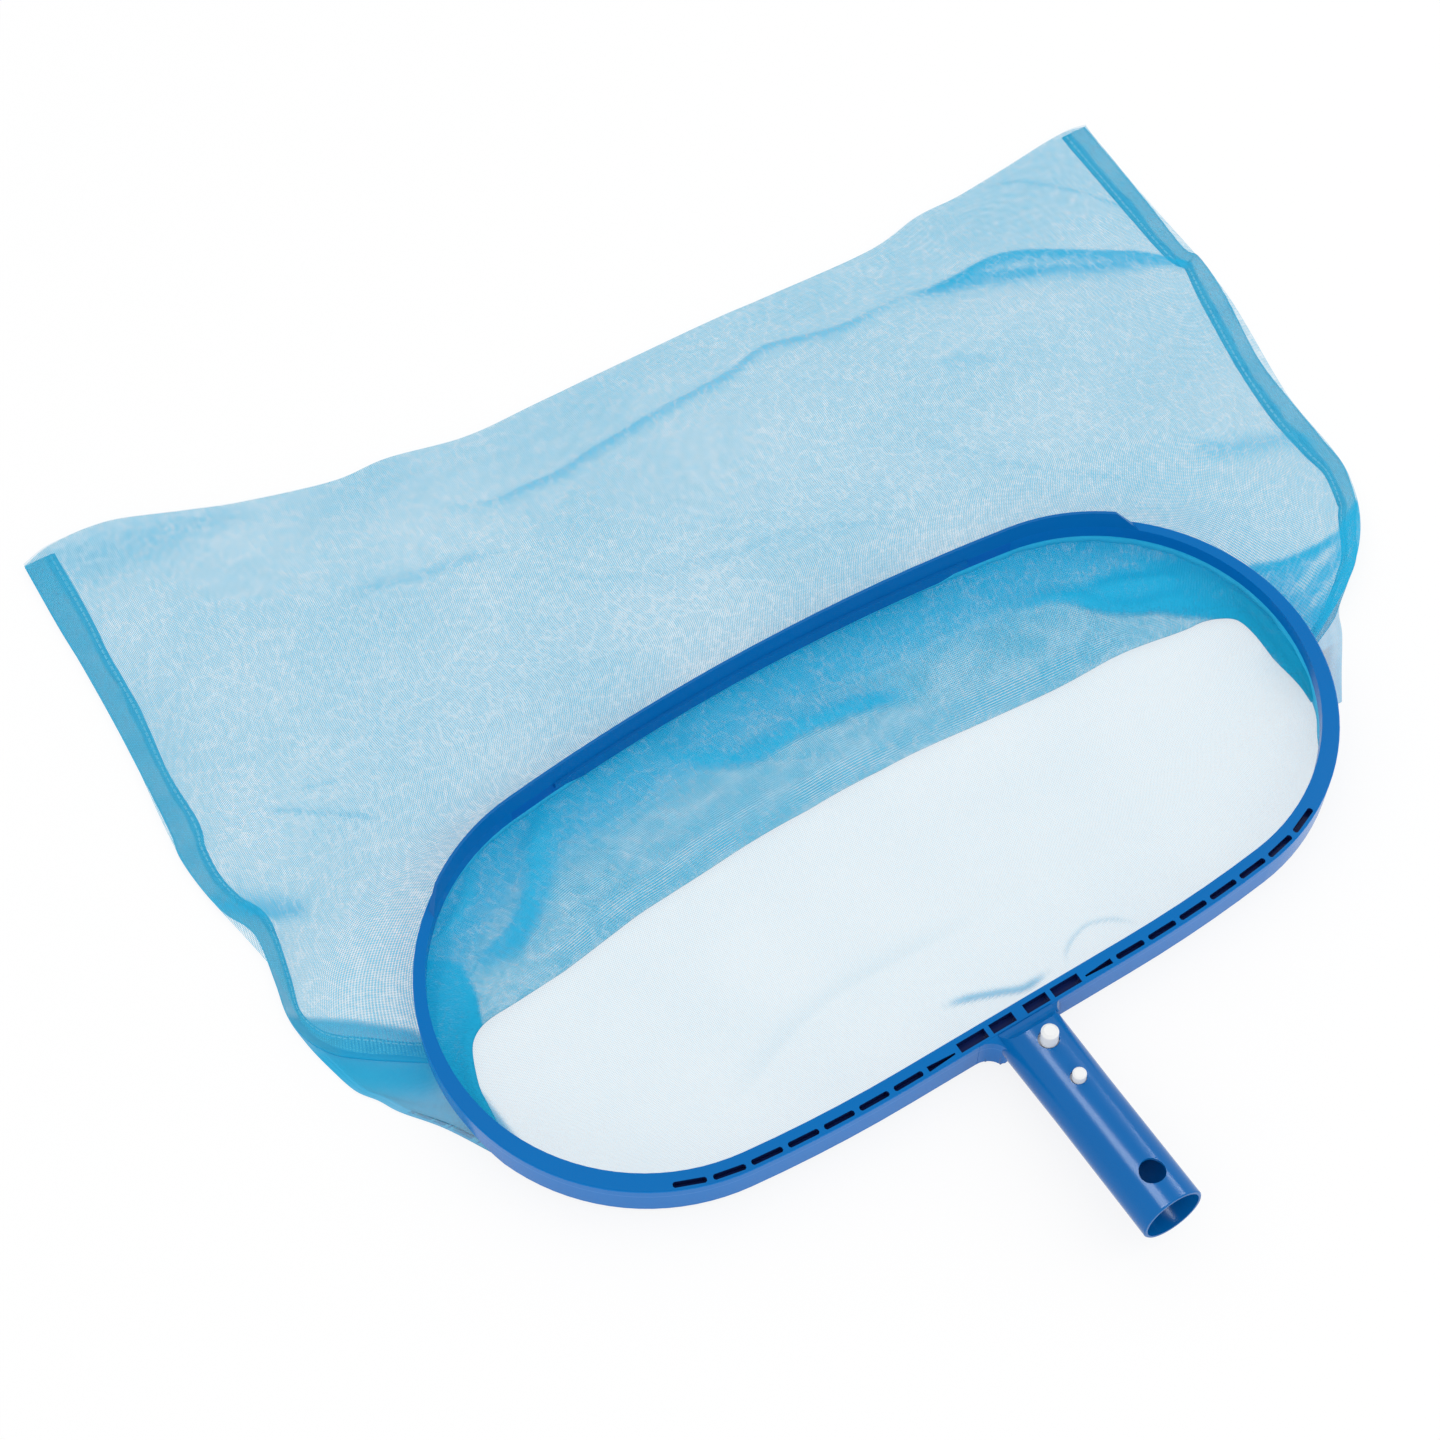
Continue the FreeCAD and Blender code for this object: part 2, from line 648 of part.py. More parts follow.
def make_mouth_hem():
    """Folded edge of the net: in the groove all round, and down to the floor on the near half."""
    body = new_body("mouth_hem")
    half = size("hem_thickness") / 2
    outside, inside = groove_line(half), groove_line(-half)
    upper = new_sketch(body, "hem_outline", "XY_Plane", "Sizes.passage_height")
    add_run(upper, outside.closed())
    add_run(upper, inside.closed())
    add_pad(body, "hem", upper, "Sizes.hem_top - Sizes.passage_height")

    lower = new_sketch(body, "front_outline", "XY_Plane", "Sizes.mesh_thickness")
    outer_end = Vector(outside.arcs[1][0].x + outside.arcs[1][1], outside.arcs[1][0].y, 0)
    inner_end = Vector(inside.arcs[1][0].x + inside.arcs[1][1], inside.arcs[1][0].y, 0)
    right_join = Part.LineSegment(outer_end, inner_end)
    left_join = Part.LineSegment(Vector(-inner_end.x, inner_end.y, 0),
                                 Vector(-outer_end.x, outer_end.y, 0))
    add_run(lower, outside.near_half() + [right_join] + inside.near_half()[::-1] + [left_join])
    add_pad(body, "front_edge", lower, "Sizes.passage_height - Sizes.mesh_thickness")
    return place_in_frame(body)


# Bag, laid flat beyond the far rim

def left_edge():
    """Left edge of the bag, from the far corner to the hoop's end."""
    x = size("bag_left_x")
    return [(x, size("bag_far_left_y")), (x - 1, 298), (x - 6, 200), (x, 160), (x - 4, 112),
            (x - 1, 88), (x + 12, 57), (x + 26, 36), (x + 39, 17)]


def right_edge():
    """Right edge of the bag, from the far corner to the hoop's end."""
    x = size("bag_right_x")
    return [(x, size("bag_far_middle_y")), (x, 234), (x - 14, 162), (x - 24, 86), (x - 43, 54),
            (x - 77, 24)]


def left_seam():
    """Outer edge of the left seam, which turns in under the rim at the hoop's end."""
    return left_edge()[:6] + [(-217, 62)]


def right_seam():
    return right_edge()[:4] + [(219, 60)]


def moved_edge(points, distance):
    """An edge moved sideways, to its left when the distance is positive."""
    normals = []
    for (x0, y0), (x1, y1) in zip(points, points[1:]):
        length = math.hypot(x1 - x0, y1 - y0)
        normals.append((-(y1 - y0) / length, (x1 - x0) / length))
    moved = []
    for index, (x, y) in enumerate(points):
        before = normals[max(index - 1, 0)]
        after = normals[min(index, len(normals) - 1)]
        mean = (before[0] + after[0], before[1] + after[1])
        scale = 2 * distance / (mean[0] ** 2 + mean[1] ** 2)
        moved.append((x + mean[0] * scale, y + mean[1] * scale))
    return moved


def seam_band(edge, inward):
    return edge + moved_edge(edge, inward)[::-1]


def make_side_seam(name, edge, inward):
    """Folded and stitched band along one edge of the bag."""
    body = new_body(name)
    outline = new_sketch(body, name + "_outline", "XY_Plane")
    add_run(outline, polygon(seam_band(edge, inward)))
    add_pad(body, name + "_band", outline, "Sizes.seam_height")
    return place_in_frame(body)


def far_edge():
    """Far fold of the bag, between the seams, from left to right."""
    width, y = size("seam_width"), size("bag_far_middle_y")
    return [(size("bag_left_x") + width, size("bag_far_left_y")), (-206, 374), (-170, 360),
            (-110, 340), (-44, y + 1), (80, y - 2), (173, y - 7), (size("bag_right_x") - width, y)]


def flat_solid(points, low, high):
    corners = [Vector(x, y, low) for x, y in points]
    return Part.Face(Part.makePolygon(corners + corners[:1])).extrude(Vector(0, 0, high - low))


def seam_solids(low, high):
    width = size("seam_width")
    bands = [seam_band(left_seam(), width), seam_band(right_seam(), -width)]
    return [flat_solid(band, low, high) for band in bands]


def solid_feature(name, shape):
    feature = document.addObject("Part::Feature", name)
    feature.Label = name
    feature.Shape = shape.removeSplitter()
    return place_in_frame(feature)


def make_lower_panel():
    """Panel on the floor, across the hoop and out to the far fold."""
    thickness = size("mesh_thickness")
    across = groove_line(size("hem_thickness") / 2).face(0.0).extrude(Vector(0, 0, thickness))
    outline = left_edge()[::-1][:-1] + far_edge() + right_edge()[1:]
    plate = across.fuse(flat_solid(outline, 0.0, thickness))
    for band in seam_solids(-1.0, size("seam_height")):
        plate = plate.cut(band)
    return solid_feature("net_lower_panel", plate)


def make_upper_panel():
    """Panel that leaves the groove of the far rim, rises outside it and drops to the far fold."""
    thickness, top = size("mesh_thickness"), size("bag_height")
    passage, run = size("passage_height"), size("bag_slope_run")
    width, gap, tuck = size("seam_width"), size("rim_gap"), size("panel_tuck")
    low_y = outer_outline().widest.y + size("panel_start")
    left = [p for p in moved_edge(left_edge(), width) if p[1] > low_y]
    right = [p for p in moved_edge(right_edge(), -width) if p[1] > low_y]
    foot = [(left[-1][0] + tuck, low_y)] + left[::-1][:-1] + far_edge() + right[1:]
    foot.append((right[-1][0] - tuck, low_y))
    middle_y = size("bag_far_middle_y")
    crest = []
    for x, y in foot:
        crest_x = min(max(x, size("bag_left_x") + run), size("bag_right_x") - run)
        follow = middle_y - run + size("crest_follow") * (y - middle_y)
        crest.append((crest_x, min(y, follow)))

    def cover(low, high):
        loops = []
        for points, height in ((foot, low), (crest, high)):
            corners = [Vector(x, y, height) for x, y in points]
            loops.append(Part.makePolygon(corners + corners[:1]))
        return Part.makeLoft(loops, True, True)

    rim_space = outer_outline(gap).face(-CUT_DEPTH).extrude(Vector(0, 0, 2 * CUT_DEPTH))
    outside = cover(thickness, top)
    shell = outside.cut(cover(0.0, top - thickness)).cut(rim_space)
    beside_rim = outer_outline(gap + thickness)
    skirt = beside_rim.face(passage).extrude(Vector(0, 0, top - passage)).cut(rim_space)
    inner_edge = groove_line(size("hem_thickness") / 2).face(passage)
    flange = beside_rim.face(passage).extrude(Vector(0, 0, size("rim_bottom") - passage))
    flange = flange.cut(inner_edge.extrude(Vector(0, 0, thickness)))
    far_half = Part.makeBox(2 * BODY_REACH, BODY_REACH, CUT_DEPTH, Vector(-BODY_REACH, low_y, 0))
    front = flange.fuse(skirt.common(outside)).common(far_half)
    panel = shell.fuse(front)
    for band in seam_solids(0.0, size("seam_height")):
        panel = panel.cut(band)
    return solid_feature("net_upper_panel", panel)


pieces = [
    make_frame_hoop(),
    make_pole_shank(),
    make_scoop_lip(),
    make_hem_strip(),
    make_hem_cord(),
    make_mouth_hem(),
    make_lower_panel(),
    make_upper_panel(),
    make_side_seam("side_seam_left", left_seam(), size("seam_width")),
    make_side_seam("side_seam_right", right_seam(), -size("seam_width")),
    make_clip_leg(),
    make_latch_lever(),
]
document.recompute()

for item in document.Objects:
    if "Invalid" in item.State or "Error" in item.State:
        raise RuntimeError(f"{item.Name} did not build: {item.State}")

for piece in pieces:
    shape = piece.Shape
    box = shape.BoundBox
    print(f"{piece.Label}: {len(shape.Solids)} solid, valid {shape.isValid()},",
          f"{shape.Volume:.0f} mm3,",
          [round(v, 1) for v in (box.XMin, box.YMin, box.ZMin, box.XMax, box.YMax, box.ZMax)])
for piece in pieces:
    if piece.Shape.isNull() or not piece.Shape.isValid():
        raise RuntimeError(f"{piece.Label} has no valid shape")

os.makedirs("parts", exist_ok=True)
for piece in pieces:
    piece.Shape.exportStep(os.path.join("parts", piece.Label + ".step"))
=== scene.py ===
import logging
import math
from dataclasses import dataclass
from enum import Enum
from typing import Any, Sequence

import bmesh
import bpy
import numpy as np
from mathutils import Matrix, Vector, noise


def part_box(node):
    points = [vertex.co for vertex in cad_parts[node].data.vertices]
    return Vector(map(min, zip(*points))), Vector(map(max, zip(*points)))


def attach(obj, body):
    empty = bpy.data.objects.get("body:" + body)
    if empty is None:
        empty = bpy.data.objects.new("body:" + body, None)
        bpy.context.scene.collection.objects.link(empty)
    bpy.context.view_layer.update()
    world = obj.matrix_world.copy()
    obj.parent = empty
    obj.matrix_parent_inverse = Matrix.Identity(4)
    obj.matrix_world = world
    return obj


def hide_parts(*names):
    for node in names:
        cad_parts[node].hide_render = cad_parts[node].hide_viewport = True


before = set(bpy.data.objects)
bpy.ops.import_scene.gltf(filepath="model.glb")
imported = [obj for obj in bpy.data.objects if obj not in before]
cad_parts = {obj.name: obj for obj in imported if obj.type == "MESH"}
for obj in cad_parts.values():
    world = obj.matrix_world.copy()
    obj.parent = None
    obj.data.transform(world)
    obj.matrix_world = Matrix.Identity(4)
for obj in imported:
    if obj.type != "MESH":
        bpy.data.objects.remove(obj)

LOG = logging.getLogger("leaf_skimmer_net")

MM = 0.001
BODY = "net_frame"
NEAR_REACH = 53.8

Piece = bpy.types.Object
Finish = bpy.types.Material
Point = tuple[float, float]
Colour = tuple[float, float, float]

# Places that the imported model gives

HOOP_LOW, HOOP_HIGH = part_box("frame_hoop")
FLOOR_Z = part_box("net_lower_panel")[0].z
RIM_TOP_Z = HOOP_HIGH.z
HOOP_Y = HOOP_LOW.y + NEAR_REACH * MM


def above_floor(height_mm: float) -> float:
    """Returns the frame's z of a height in millimetres above the floor."""
    return FLOOR_Z + height_mm * MM


def bag_points(points: Sequence[Point]) -> list[Point]:
    """Turns points in millimetres from the hoop's middle into the frame's metres."""
    return [(x * MM, y * MM + HOOP_Y) for x, y in points]


def ramp(values: Any, start: float, width: float) -> Any:
    """Returns 0 up to a start and 1 from the start plus the width, straight between them."""
    return np.clip((values - start) / width, 0, 1)


# Materials: a small language for shader nodes

MIX_FIRST, MIX_SECOND, MIX_RESULT = 6, 7, 2


class Wire:
    """An output socket that takes part in arithmetic by adding Math nodes."""

    def __init__(self, paint: "Paint", socket: bpy.types.NodeSocket) -> None:
        """Keeps the socket and the paint that it belongs to."""
        self.paint = paint
        self.socket = socket

    def _maths(self, operation: str, *values: Any) -> "Wire":
        """Returns the output of a new Math node with these values."""
        return self.paint.add("ShaderNodeMath", {"operation": operation}, dict(enumerate(values)))

    def __add__(self, other: Any) -> "Wire":
        """Returns the sum."""
        return self._maths("ADD", self, other)

    __radd__ = __add__

    def __sub__(self, other: Any) -> "Wire":
        """Returns the difference."""
        return self._maths("SUBTRACT", self, other)

    def __rsub__(self, other: Any) -> "Wire":
        """Returns the other value less this one."""
        return self._maths("SUBTRACT", other, self)

    def __mul__(self, other: Any) -> "Wire":
        """Returns the product."""
        return self._maths("MULTIPLY", self, other)

    __rmul__ = __mul__

    def root(self) -> "Wire":
        """Returns the square root."""
        return self._maths("SQRT", self)

    def power(self, other: Any) -> "Wire":
        """Returns this value raised to the other."""
        return self._maths("POWER", self, other)

    def most(self, other: Any) -> "Wire":
        """Returns the larger of the two values."""
        return self._maths("MAXIMUM", self, other)

    def wave(self) -> "Wire":
        """Returns the sine."""
        return self._maths("SINE", self)

    def size(self) -> "Wire":
        """Returns the absolute value."""
        return self._maths("ABSOLUTE", self)

    def rest_of(self, length: float) -> "Wire":
        """Returns what is left of this value past whole lengths."""
        return self._maths("FLOORED_MODULO", self, length)

    def over(self, limit: Any) -> "Wire":
        """Returns 1 where this value is above the limit, and 0 elsewhere."""
        return self._maths("GREATER_THAN", self, limit)

    def between(self, low: float, high: float) -> "Wire":
        """Returns 0 up to low and 1 from high, smoothly between them."""
        return self.paint.add("ShaderNodeMapRange", {"interpolation_type": "SMOOTHSTEP"},
                              {"Value": self, "From Min": low, "From Max": high})


class Paint:
    """A material under construction."""

    def __init__(self, name: str) -> None:
        """Makes an empty material with its output node."""
        self.material = bpy.data.materials.new(name)
        self.material.use_nodes = True
        self.tree = self.material.node_tree
        self.tree.nodes.clear()
        self.output = self.tree.nodes.new("ShaderNodeOutputMaterial")

    def add(self, kind: str, settings: dict[str, Any] | None = None,
            sockets: dict[Any, Any] | None = None, output: Any = 0) -> Wire:
        """Adds a node.

        Args:
            kind: the node's type.
            settings: its properties.
            sockets: values or wires for its inputs, by name or number.
            output: name or number of the output that is returned.

        Returns:
            The chosen output.
        """
        node = self.tree.nodes.new(kind)
        for name, value in (settings or {}).items():
            setattr(node, name, value)
        for name, value in (sockets or {}).items():
            if isinstance(value, Wire):
                self.tree.links.new(value.socket, node.inputs[name])
            else:
                node.inputs[name].default_value = value
        return Wire(self, node.outputs[output])

    def place(self) -> Wire:
        """Returns the object's own coordinates, in metres."""
        return self.add("ShaderNodeTexCoord", output="Object")

    def axes(self, place: Wire) -> tuple[Wire, Wire, Wire]:
        """Returns the three parts of a place."""
        parts = self.tree.nodes.new("ShaderNodeSeparateXYZ")
        self.tree.links.new(place.socket, parts.inputs[0])
        return tuple(Wire(self, output) for output in parts.outputs)

    def weave_map(self) -> tuple[Wire, Wire]:
        """Returns the two directions of the piece's own UV map, in metres of cloth."""
        return self.axes(self.add("ShaderNodeUVMap", {"uv_map": "cloth"}))[:2]

    def attribute(self, name: str) -> Wire:
        """Returns a number kept on the piece's own points."""
        return self.add("ShaderNodeAttribute", {"attribute_name": name}, output="Fac")

    def cloud(self, scale: float, detail: float = 3.0, place: Wire | None = None) -> Wire:
        """Returns noise from 0 to 1, with this many features in a metre of the place."""
        sockets = {"Vector": place or self.place(), "Scale": scale, "Detail": detail}
        return self.add("ShaderNodeTexNoise", None, sockets, "Fac")

    def mix(self, factor: Any, first: Any, second: Any) -> Wire:
        """Returns the first colour where the factor is 0, and the second where it is 1."""
        ends = [end if isinstance(end, Wire) else (*end, 1.0) for end in (first, second)]
        sockets = {"Factor": factor, MIX_FIRST: ends[0], MIX_SECOND: ends[1]}
        return self.add("ShaderNodeMix", {"data_type": "RGBA"}, sockets, MIX_RESULT)

    def streaks(self, across: float, along: float) -> Wire:
        """Returns noise drawn out along the cloth, with so many features in a metre each way."""
        cloth = self.add("ShaderNodeUVMap", {"uv_map": "cloth"})
        scaled = {"Vector": cloth, "Scale": (across, along, 1.0)}
        return self.cloud(1.0, 2.0, self.add("ShaderNodeMapping", None, scaled))

    def bump(self, height: Wire, distance: float, strength: float = 1.0) -> Wire:
        """Returns a normal that follows a height map, with its depth in metres."""
        return self.add("ShaderNodeBump", None,
                        {"Height": height, "Distance": distance, "Strength": strength})

    def shade(self, **sockets: Any) -> Wire:
        """Adds a Principled shader; an underscore in a name stands for a space."""
        named = {name.replace("_", " "): value for name, value in sockets.items()}
        return self.add("ShaderNodeBsdfPrincipled", None, named)

    def finish(self, surface: Wire) -> Finish:
        """Links the surface to the output and returns the material."""
        self.tree.links.new(surface.socket, self.output.inputs["Surface"])
        return self.material


@dataclass(frozen=True)
class MouldedPlastic:
    """Coloured plastic with a satin skin, faint flow marks and fine grain."""

    name: str
    colour: Colour
    shade_colour: Colour
    roughness: float = 0.19
    grain_size: float = 0.0006
    grain_depth: float = 0.000008
    coat: float = 0.06
    specular: float = 0.14

    def material(self) -> Finish:
        """Builds the material."""
        paint = Paint(self.name)
        flow = paint.cloud(18.0, 2.0).between(0.3, 0.7)
        specks = paint.cloud(900.0, 2.0)
        colour = paint.mix(flow * 0.5 + specks * 0.2, self.colour, self.shade_colour)
        grain = paint.cloud(1.0 / self.grain_size, 1.0)
        waves = paint.cloud(60.0, 1.0)
        normal = paint.bump(grain + waves * 6.0, self.grain_depth)
        roughness = flow * 0.06 + specks * 0.05 + (self.roughness - 0.05)
        return paint.finish(paint.shade(Base_Color=self.details(paint, colour),
                                        Roughness=roughness, Normal=normal,
                                        Coat_Weight=self.coat, Coat_Roughness=0.15,
                                        Specular_IOR_Level=self.specular))

    def details(self, paint: Paint, colour: Wire) -> Wire:
        """Returns the colour with the details of one piece; a plain piece has none."""
        return colour


@dataclass(frozen=True)
class HoopPlastic(MouldedPlastic):
    """The hoop's plastic, with painted light: painted shade in the deep pockets and on the inner
    wall, a painted reflection on the outer wall, and a painted highlight along the mould's parting
    line.
    """

    # Painted shade: the dark navy colour put inside the pockets, where shade falls.
    pocket_shade_colour: Colour = (0.008, 0.012, 0.1)
    # Painted reflection: the outer wall is coloured lighter, as where it mirrors the white floor.
    wall_reflection_colour: Colour = (0.012, 0.205, 0.62)
    # Painted shade: the inner wall is coloured darker, for the shade that falls on it.
    inner_shade_colour: Colour = (0.003, 0.115, 0.44)
    # Painted highlight: a lighter line along the mould's parting line on the outer wall.
    line_highlight_colour: Colour = (0.09, 0.33, 0.72)
    pocket_band: tuple[float, float] = (1.3, 6.8)
    pocket_end: float = -30.0
    parting_height: float = 15.5

    def details(self, paint: Paint, colour: Wire) -> Wire:
        """Adds painted shade in the pockets and on the inner wall, a painted reflection on the outer
        wall, and a painted highlight along the parting line.

        Args:
            paint: the material.
            colour: the plain plastic's colour.

        Returns:
            The finished colour.
        """
        x, y, z = paint.axes(paint.place())
        inward = self._from_outline(x.size(), y - HOOP_Y)
        low, high = (edge * MM for edge in self.pocket_band)
        below_top = 1.0 - z.over(RIM_TOP_Z - 0.3 * MM)
        near_side = 1.0 - (y - HOOP_Y).over(self.pocket_end * MM)
        # Painted shade mask: the pockets below the rim top on the near side.
        pockets = inward.over(low) * (1.0 - inward.over(high)) * below_top * near_side
        # Painted highlight mask: a thin band along the parting line.
        line = 1.0 - (z - above_floor(self.parting_height)).size().between(0.05 * MM, 0.3 * MM)
        # Painted reflection mask: the outer wall below the rim top.
        wall = (1.0 - inward.over(0.5 * MM)) * below_top
        # Painted shade mask: the inner wall below the rim top.
        inner = inward.over(8.6 * MM) * below_top
        wall_reflected = paint.mix(wall * 0.5, colour, self.wall_reflection_colour)
        line_highlighted = paint.mix(line * wall * 0.5, wall_reflected, self.line_highlight_colour)
        deep = paint.mix(inner * 0.8, line_highlighted, self.inner_shade_colour)
        return paint.mix(pockets * 0.94, deep, self.pocket_shade_colour)

    @staticmethod
    def _from_outline(x: Wire, y: Wire) -> Wire:
        """Returns how far inside the hoop's near outline a place lies.

        Args:
            x: distance from the middle plane, in metres.
            y: place along the hoop's short side, from its middle.

        Returns:
            The distance, from the straight, bowed or cornered run that the place is beside.
        """
        start, turn = OUTER.half_straight, math.radians(OUTER.bow_angle)
        end_x = start + OUTER.bow * math.sin(turn)
        end_y = OUTER.near_y + OUTER.bow * (1 - math.cos(turn))
        corner = (end_x - OUTER.near_corner * math.sin(turn),
                  end_y + OUTER.near_corner * math.cos(turn))
        bow = (start, OUTER.near_y + OUTER.bow)

        def inside(centre: Point, radius: float) -> Wire:
            """Returns the distance inside an arc."""
            across, along = x - centre[0] * MM, y - centre[1] * MM
            return radius * MM - (across * across + along * along).root()

        past_straight, past_bow = x.over(start * MM), x.over(end_x * MM)
        return ((y - OUTER.near_y * MM) * (1.0 - past_straight)
                + inside(bow, OUTER.bow) * (past_straight - past_bow)
                + inside(corner, OUTER.near_corner) * past_bow)


@dataclass(frozen=True)
class NetMesh:
    """Fine woven mesh: crossed threads with open gaps, denser where the cloth is gathered."""

    name: str
    coverage: float
    contrast: float = 0.62
    blotches: float = 0.3
    streak: float = 0.4
    crinkle: float = 0.28
    thread_colour: Colour = (0.045, 0.375, 0.56)
    deep_colour: Colour = (0.002, 0.33, 0.56)
    pitch: float = 0.0008
    glow: float = 0.25
    slack: float = 0.0022
    full_gather: float = 2.2
    filled: float = 0.8

    def material(self) -> Finish:
        """Builds the material."""
        paint = Paint(self.name)
        u, v = paint.weave_map()
        turn = 2 * math.pi / self.pitch
        slack = paint.cloud(14.0, 2.0) * self.slack
        warp = ((u + slack) * turn).wave()
        weft = ((v - slack) * turn).wave()
        gather = paint.attribute("gather")
        crowd = (gather - 1.0).between(0.0, self.full_gather)
        open_share = 1.0 - crowd * self.filled
        woven = (warp * self.contrast + 1.0) * (weft * self.contrast + 1.0) - 1.0
        threads = woven * open_share + 1.0
        broad = paint.cloud(16.0, 3.0).between(0.25, 0.75)
        creases = 1.0 - (paint.cloud(95.0, 3.0) - 0.5).size().between(0.0, 0.045)
        patches = (broad - 0.5) * self.blotches * open_share + 1.0 - creases * self.crinkle
        lines = (paint.streaks(700.0, 170.0).between(0.3, 0.7) - 0.5) * self.streak + 1.0
        clear = (1.0 - threads * patches * lines * self.coverage).most(0.02)
        alpha = 1.0 - clear.power(gather)
        tone = paint.cloud(35.0, 2.0)
        colour = paint.mix(crowd + tone * 0.12, self.thread_colour, self.deep_colour)
        normal = paint.bump(warp + weft, 0.00004)
        # Painted glow: the threads emit their own colour, standing in for light that passes through
        # the mesh.
        return paint.finish(paint.shade(Base_Color=colour, Roughness=tone * 0.1 + 0.55,
                                        Normal=normal, Alpha=alpha, Specular_IOR_Level=0.15,
                                        Emission_Color=colour, Emission_Strength=self.glow))


@dataclass(frozen=True)
class StitchedTape:
    """Folded mesh beside a sewn line: a thin outer part and a dense one with stitches."""

    name: str
    colour: Colour
    deep_colour: Colour
    thread_colour: Colour
    outer_cover: float = 0.45
    seam_cover: float = 0.96
    seam_start: float = 0.0076
    stitch_row: float = 0.0092
    pitch: float = 0.0008
    stitch_length: float = 0.0032
    stitch_gap: float = 0.0008
    stitch_width: float = 0.0008
    glow: float = 0.25

    def material(self) -> Finish:
        """Builds the material."""
        paint = Paint(self.name)
        u, v = paint.weave_map()
        turn = 2 * math.pi / self.pitch
        weave = (u * turn).wave() * (v * turn).wave()
        patches = paint.cloud(60.0, 3.0).between(0.3, 0.7)
        sway = (paint.cloud(45.0, 2.0) - 0.5) * 0.004
        seam = (v + sway).between(self.seam_start - 0.001, self.seam_start + 0.0006)
        edge = 1.0 - (v + sway * 0.2).between(0.0003, 0.0011)
        folded = (paint.attribute("gather") - 1.0).between(0.0, 1.0)
        dense = seam.most(edge * 0.5).most(folded)
        cover = dense * (self.seam_cover - self.outer_cover) + self.outer_cover
        across = ((v - self.stitch_row).size() * -1.0 + self.stitch_width / 2).over(0.0)
        along = (u.rest_of(self.stitch_length) - self.stitch_gap).over(0.0)
        stitches = across * along
        body = paint.mix(dense * 0.75 + patches * 0.2 + weave * 0.1, self.colour, self.deep_colour)
        colour = paint.mix(stitches * 0.75, body, self.thread_colour)
        normal = paint.bump(weave + stitches * 4.0 + seam * 3.0, 0.00008)
        alpha = weave * 0.1 + patches * 0.1 + cover - 0.05
        # Painted glow: the tape emits its own colour, standing in for light that passes through the
        # folded mesh.
        return paint.finish(paint.shade(Base_Color=colour, Roughness=patches * 0.1 + 0.5,
                                        Normal=normal, Alpha=alpha, Specular_IOR_Level=0.2,
                                        Emission_Color=colour, Emission_Strength=self.glow))


@dataclass(frozen=True)
class BraidedCord:
    """Cord of twisted strands."""

    name: str
    colour: Colour
    shade_colour: Colour
    strand: float = 0.0012

    def material(self) -> Finish:
        """Builds the material."""
        paint = Paint(self.name)
        u, v = paint.weave_map()
        turn = 2 * math.pi / self.strand
        strands = ((u + v) * turn).wave() * ((u - v) * turn).wave()
        fuzz = paint.cloud(700.0, 2.0)
        colour = paint.mix(strands * 0.4 + fuzz * 0.4, self.colour, self.shade_colour)
        return paint.finish(paint.shade(Base_Color=colour, Roughness=fuzz * 0.1 + 0.7,
                                        Normal=paint.bump(strands, 0.0001)))


@dataclass(frozen=True)
class StudioPaper:
    """White paper that keeps the object's shadow."""

    name: str
    colour: Colour
    backlight: float = 0.84

    def material(self) -> Finish:
        """Builds the material: part of what the camera sees is white of its own."""
        paint = Paint(self.name)
        fibres = paint.cloud(40.0, 2.0)
        colour = paint.mix(fibres * 0.5, self.colour, tuple(c * 0.995 for c in self.colour))
        paper = paint.shade(Base_Color=colour, Roughness=0.9, Specular_IOR_Level=0.1)
        glow = paint.add("ShaderNodeEmission", None, {"Color": (1.0, 1.0, 1.0, 1.0)})
        seen = paint.add("ShaderNodeLightPath", output="Is Camera Ray")
        mirrored = paint.add("ShaderNodeLightPath", output="Is Glossy Ray")
        passed = paint.add("ShaderNodeLightPath", output="Is Transmission Ray")
        share = (seen + mirrored + passed) * self.backlight
        return paint.finish(paint.add("ShaderNodeMixShader", None, {0: share, 1: paper, 2: glow}))


BLUE = MouldedPlastic("blue_plastic", (0.0006, 0.135, 0.43), (0.0006, 0.12, 0.395))
HOOP_BLUE = HoopPlastic("hoop_plastic", (0.001, 0.155, 0.48), (0.001, 0.138, 0.44), coat=0.03,
                        specular=0.06)
NYLON = MouldedPlastic("white_nylon", (0.86, 0.87, 0.87), (0.8, 0.81, 0.82), 0.35, 0.0004,
                       0.000006, 0.05, 0.4)
LOWER_NET = NetMesh("lower_net", 0.215, 0.25, 0.16, 0.08, 0.03)
UPPER_NET = NetMesh("upper_net", 0.48, blotches=0.24, glow=0.28)
LEFT_TAPE = StitchedTape("left_tape", (0.042, 0.375, 0.575), (0.004, 0.3, 0.545),
                         (0.22, 0.55, 0.7), outer_cover=0.6, seam_cover=1.0)
RIGHT_TAPE = StitchedTape("right_tape", (0.05, 0.39, 0.59), (0.005, 0.305, 0.55),
                          (0.28, 0.58, 0.72), outer_cover=0.46, seam_start=0.0068)
HEM = StitchedTape("hem", (0.03, 0.43, 0.66), (0.012, 0.385, 0.63), (0.08, 0.5, 0.72),
                   outer_cover=0.96, seam_cover=0.97, stitch_row=0.0105, glow=0.3)
CORD = BraidedCord("cord", (0.62, 0.74, 0.78), (0.45, 0.6, 0.68))
PAPER = StudioPaper("paper", (0.96, 0.96, 0.965))


# Lines in the plane

class Side(Enum):
    """A half of the hoop."""

    NEAR = "near"
    FAR = "far"


def steps_along(line: np.ndarray) -> np.ndarray:
    """Returns the distance from each point of a line to the next."""
    return np.linalg.norm(np.diff(line, axis=0), axis=1)


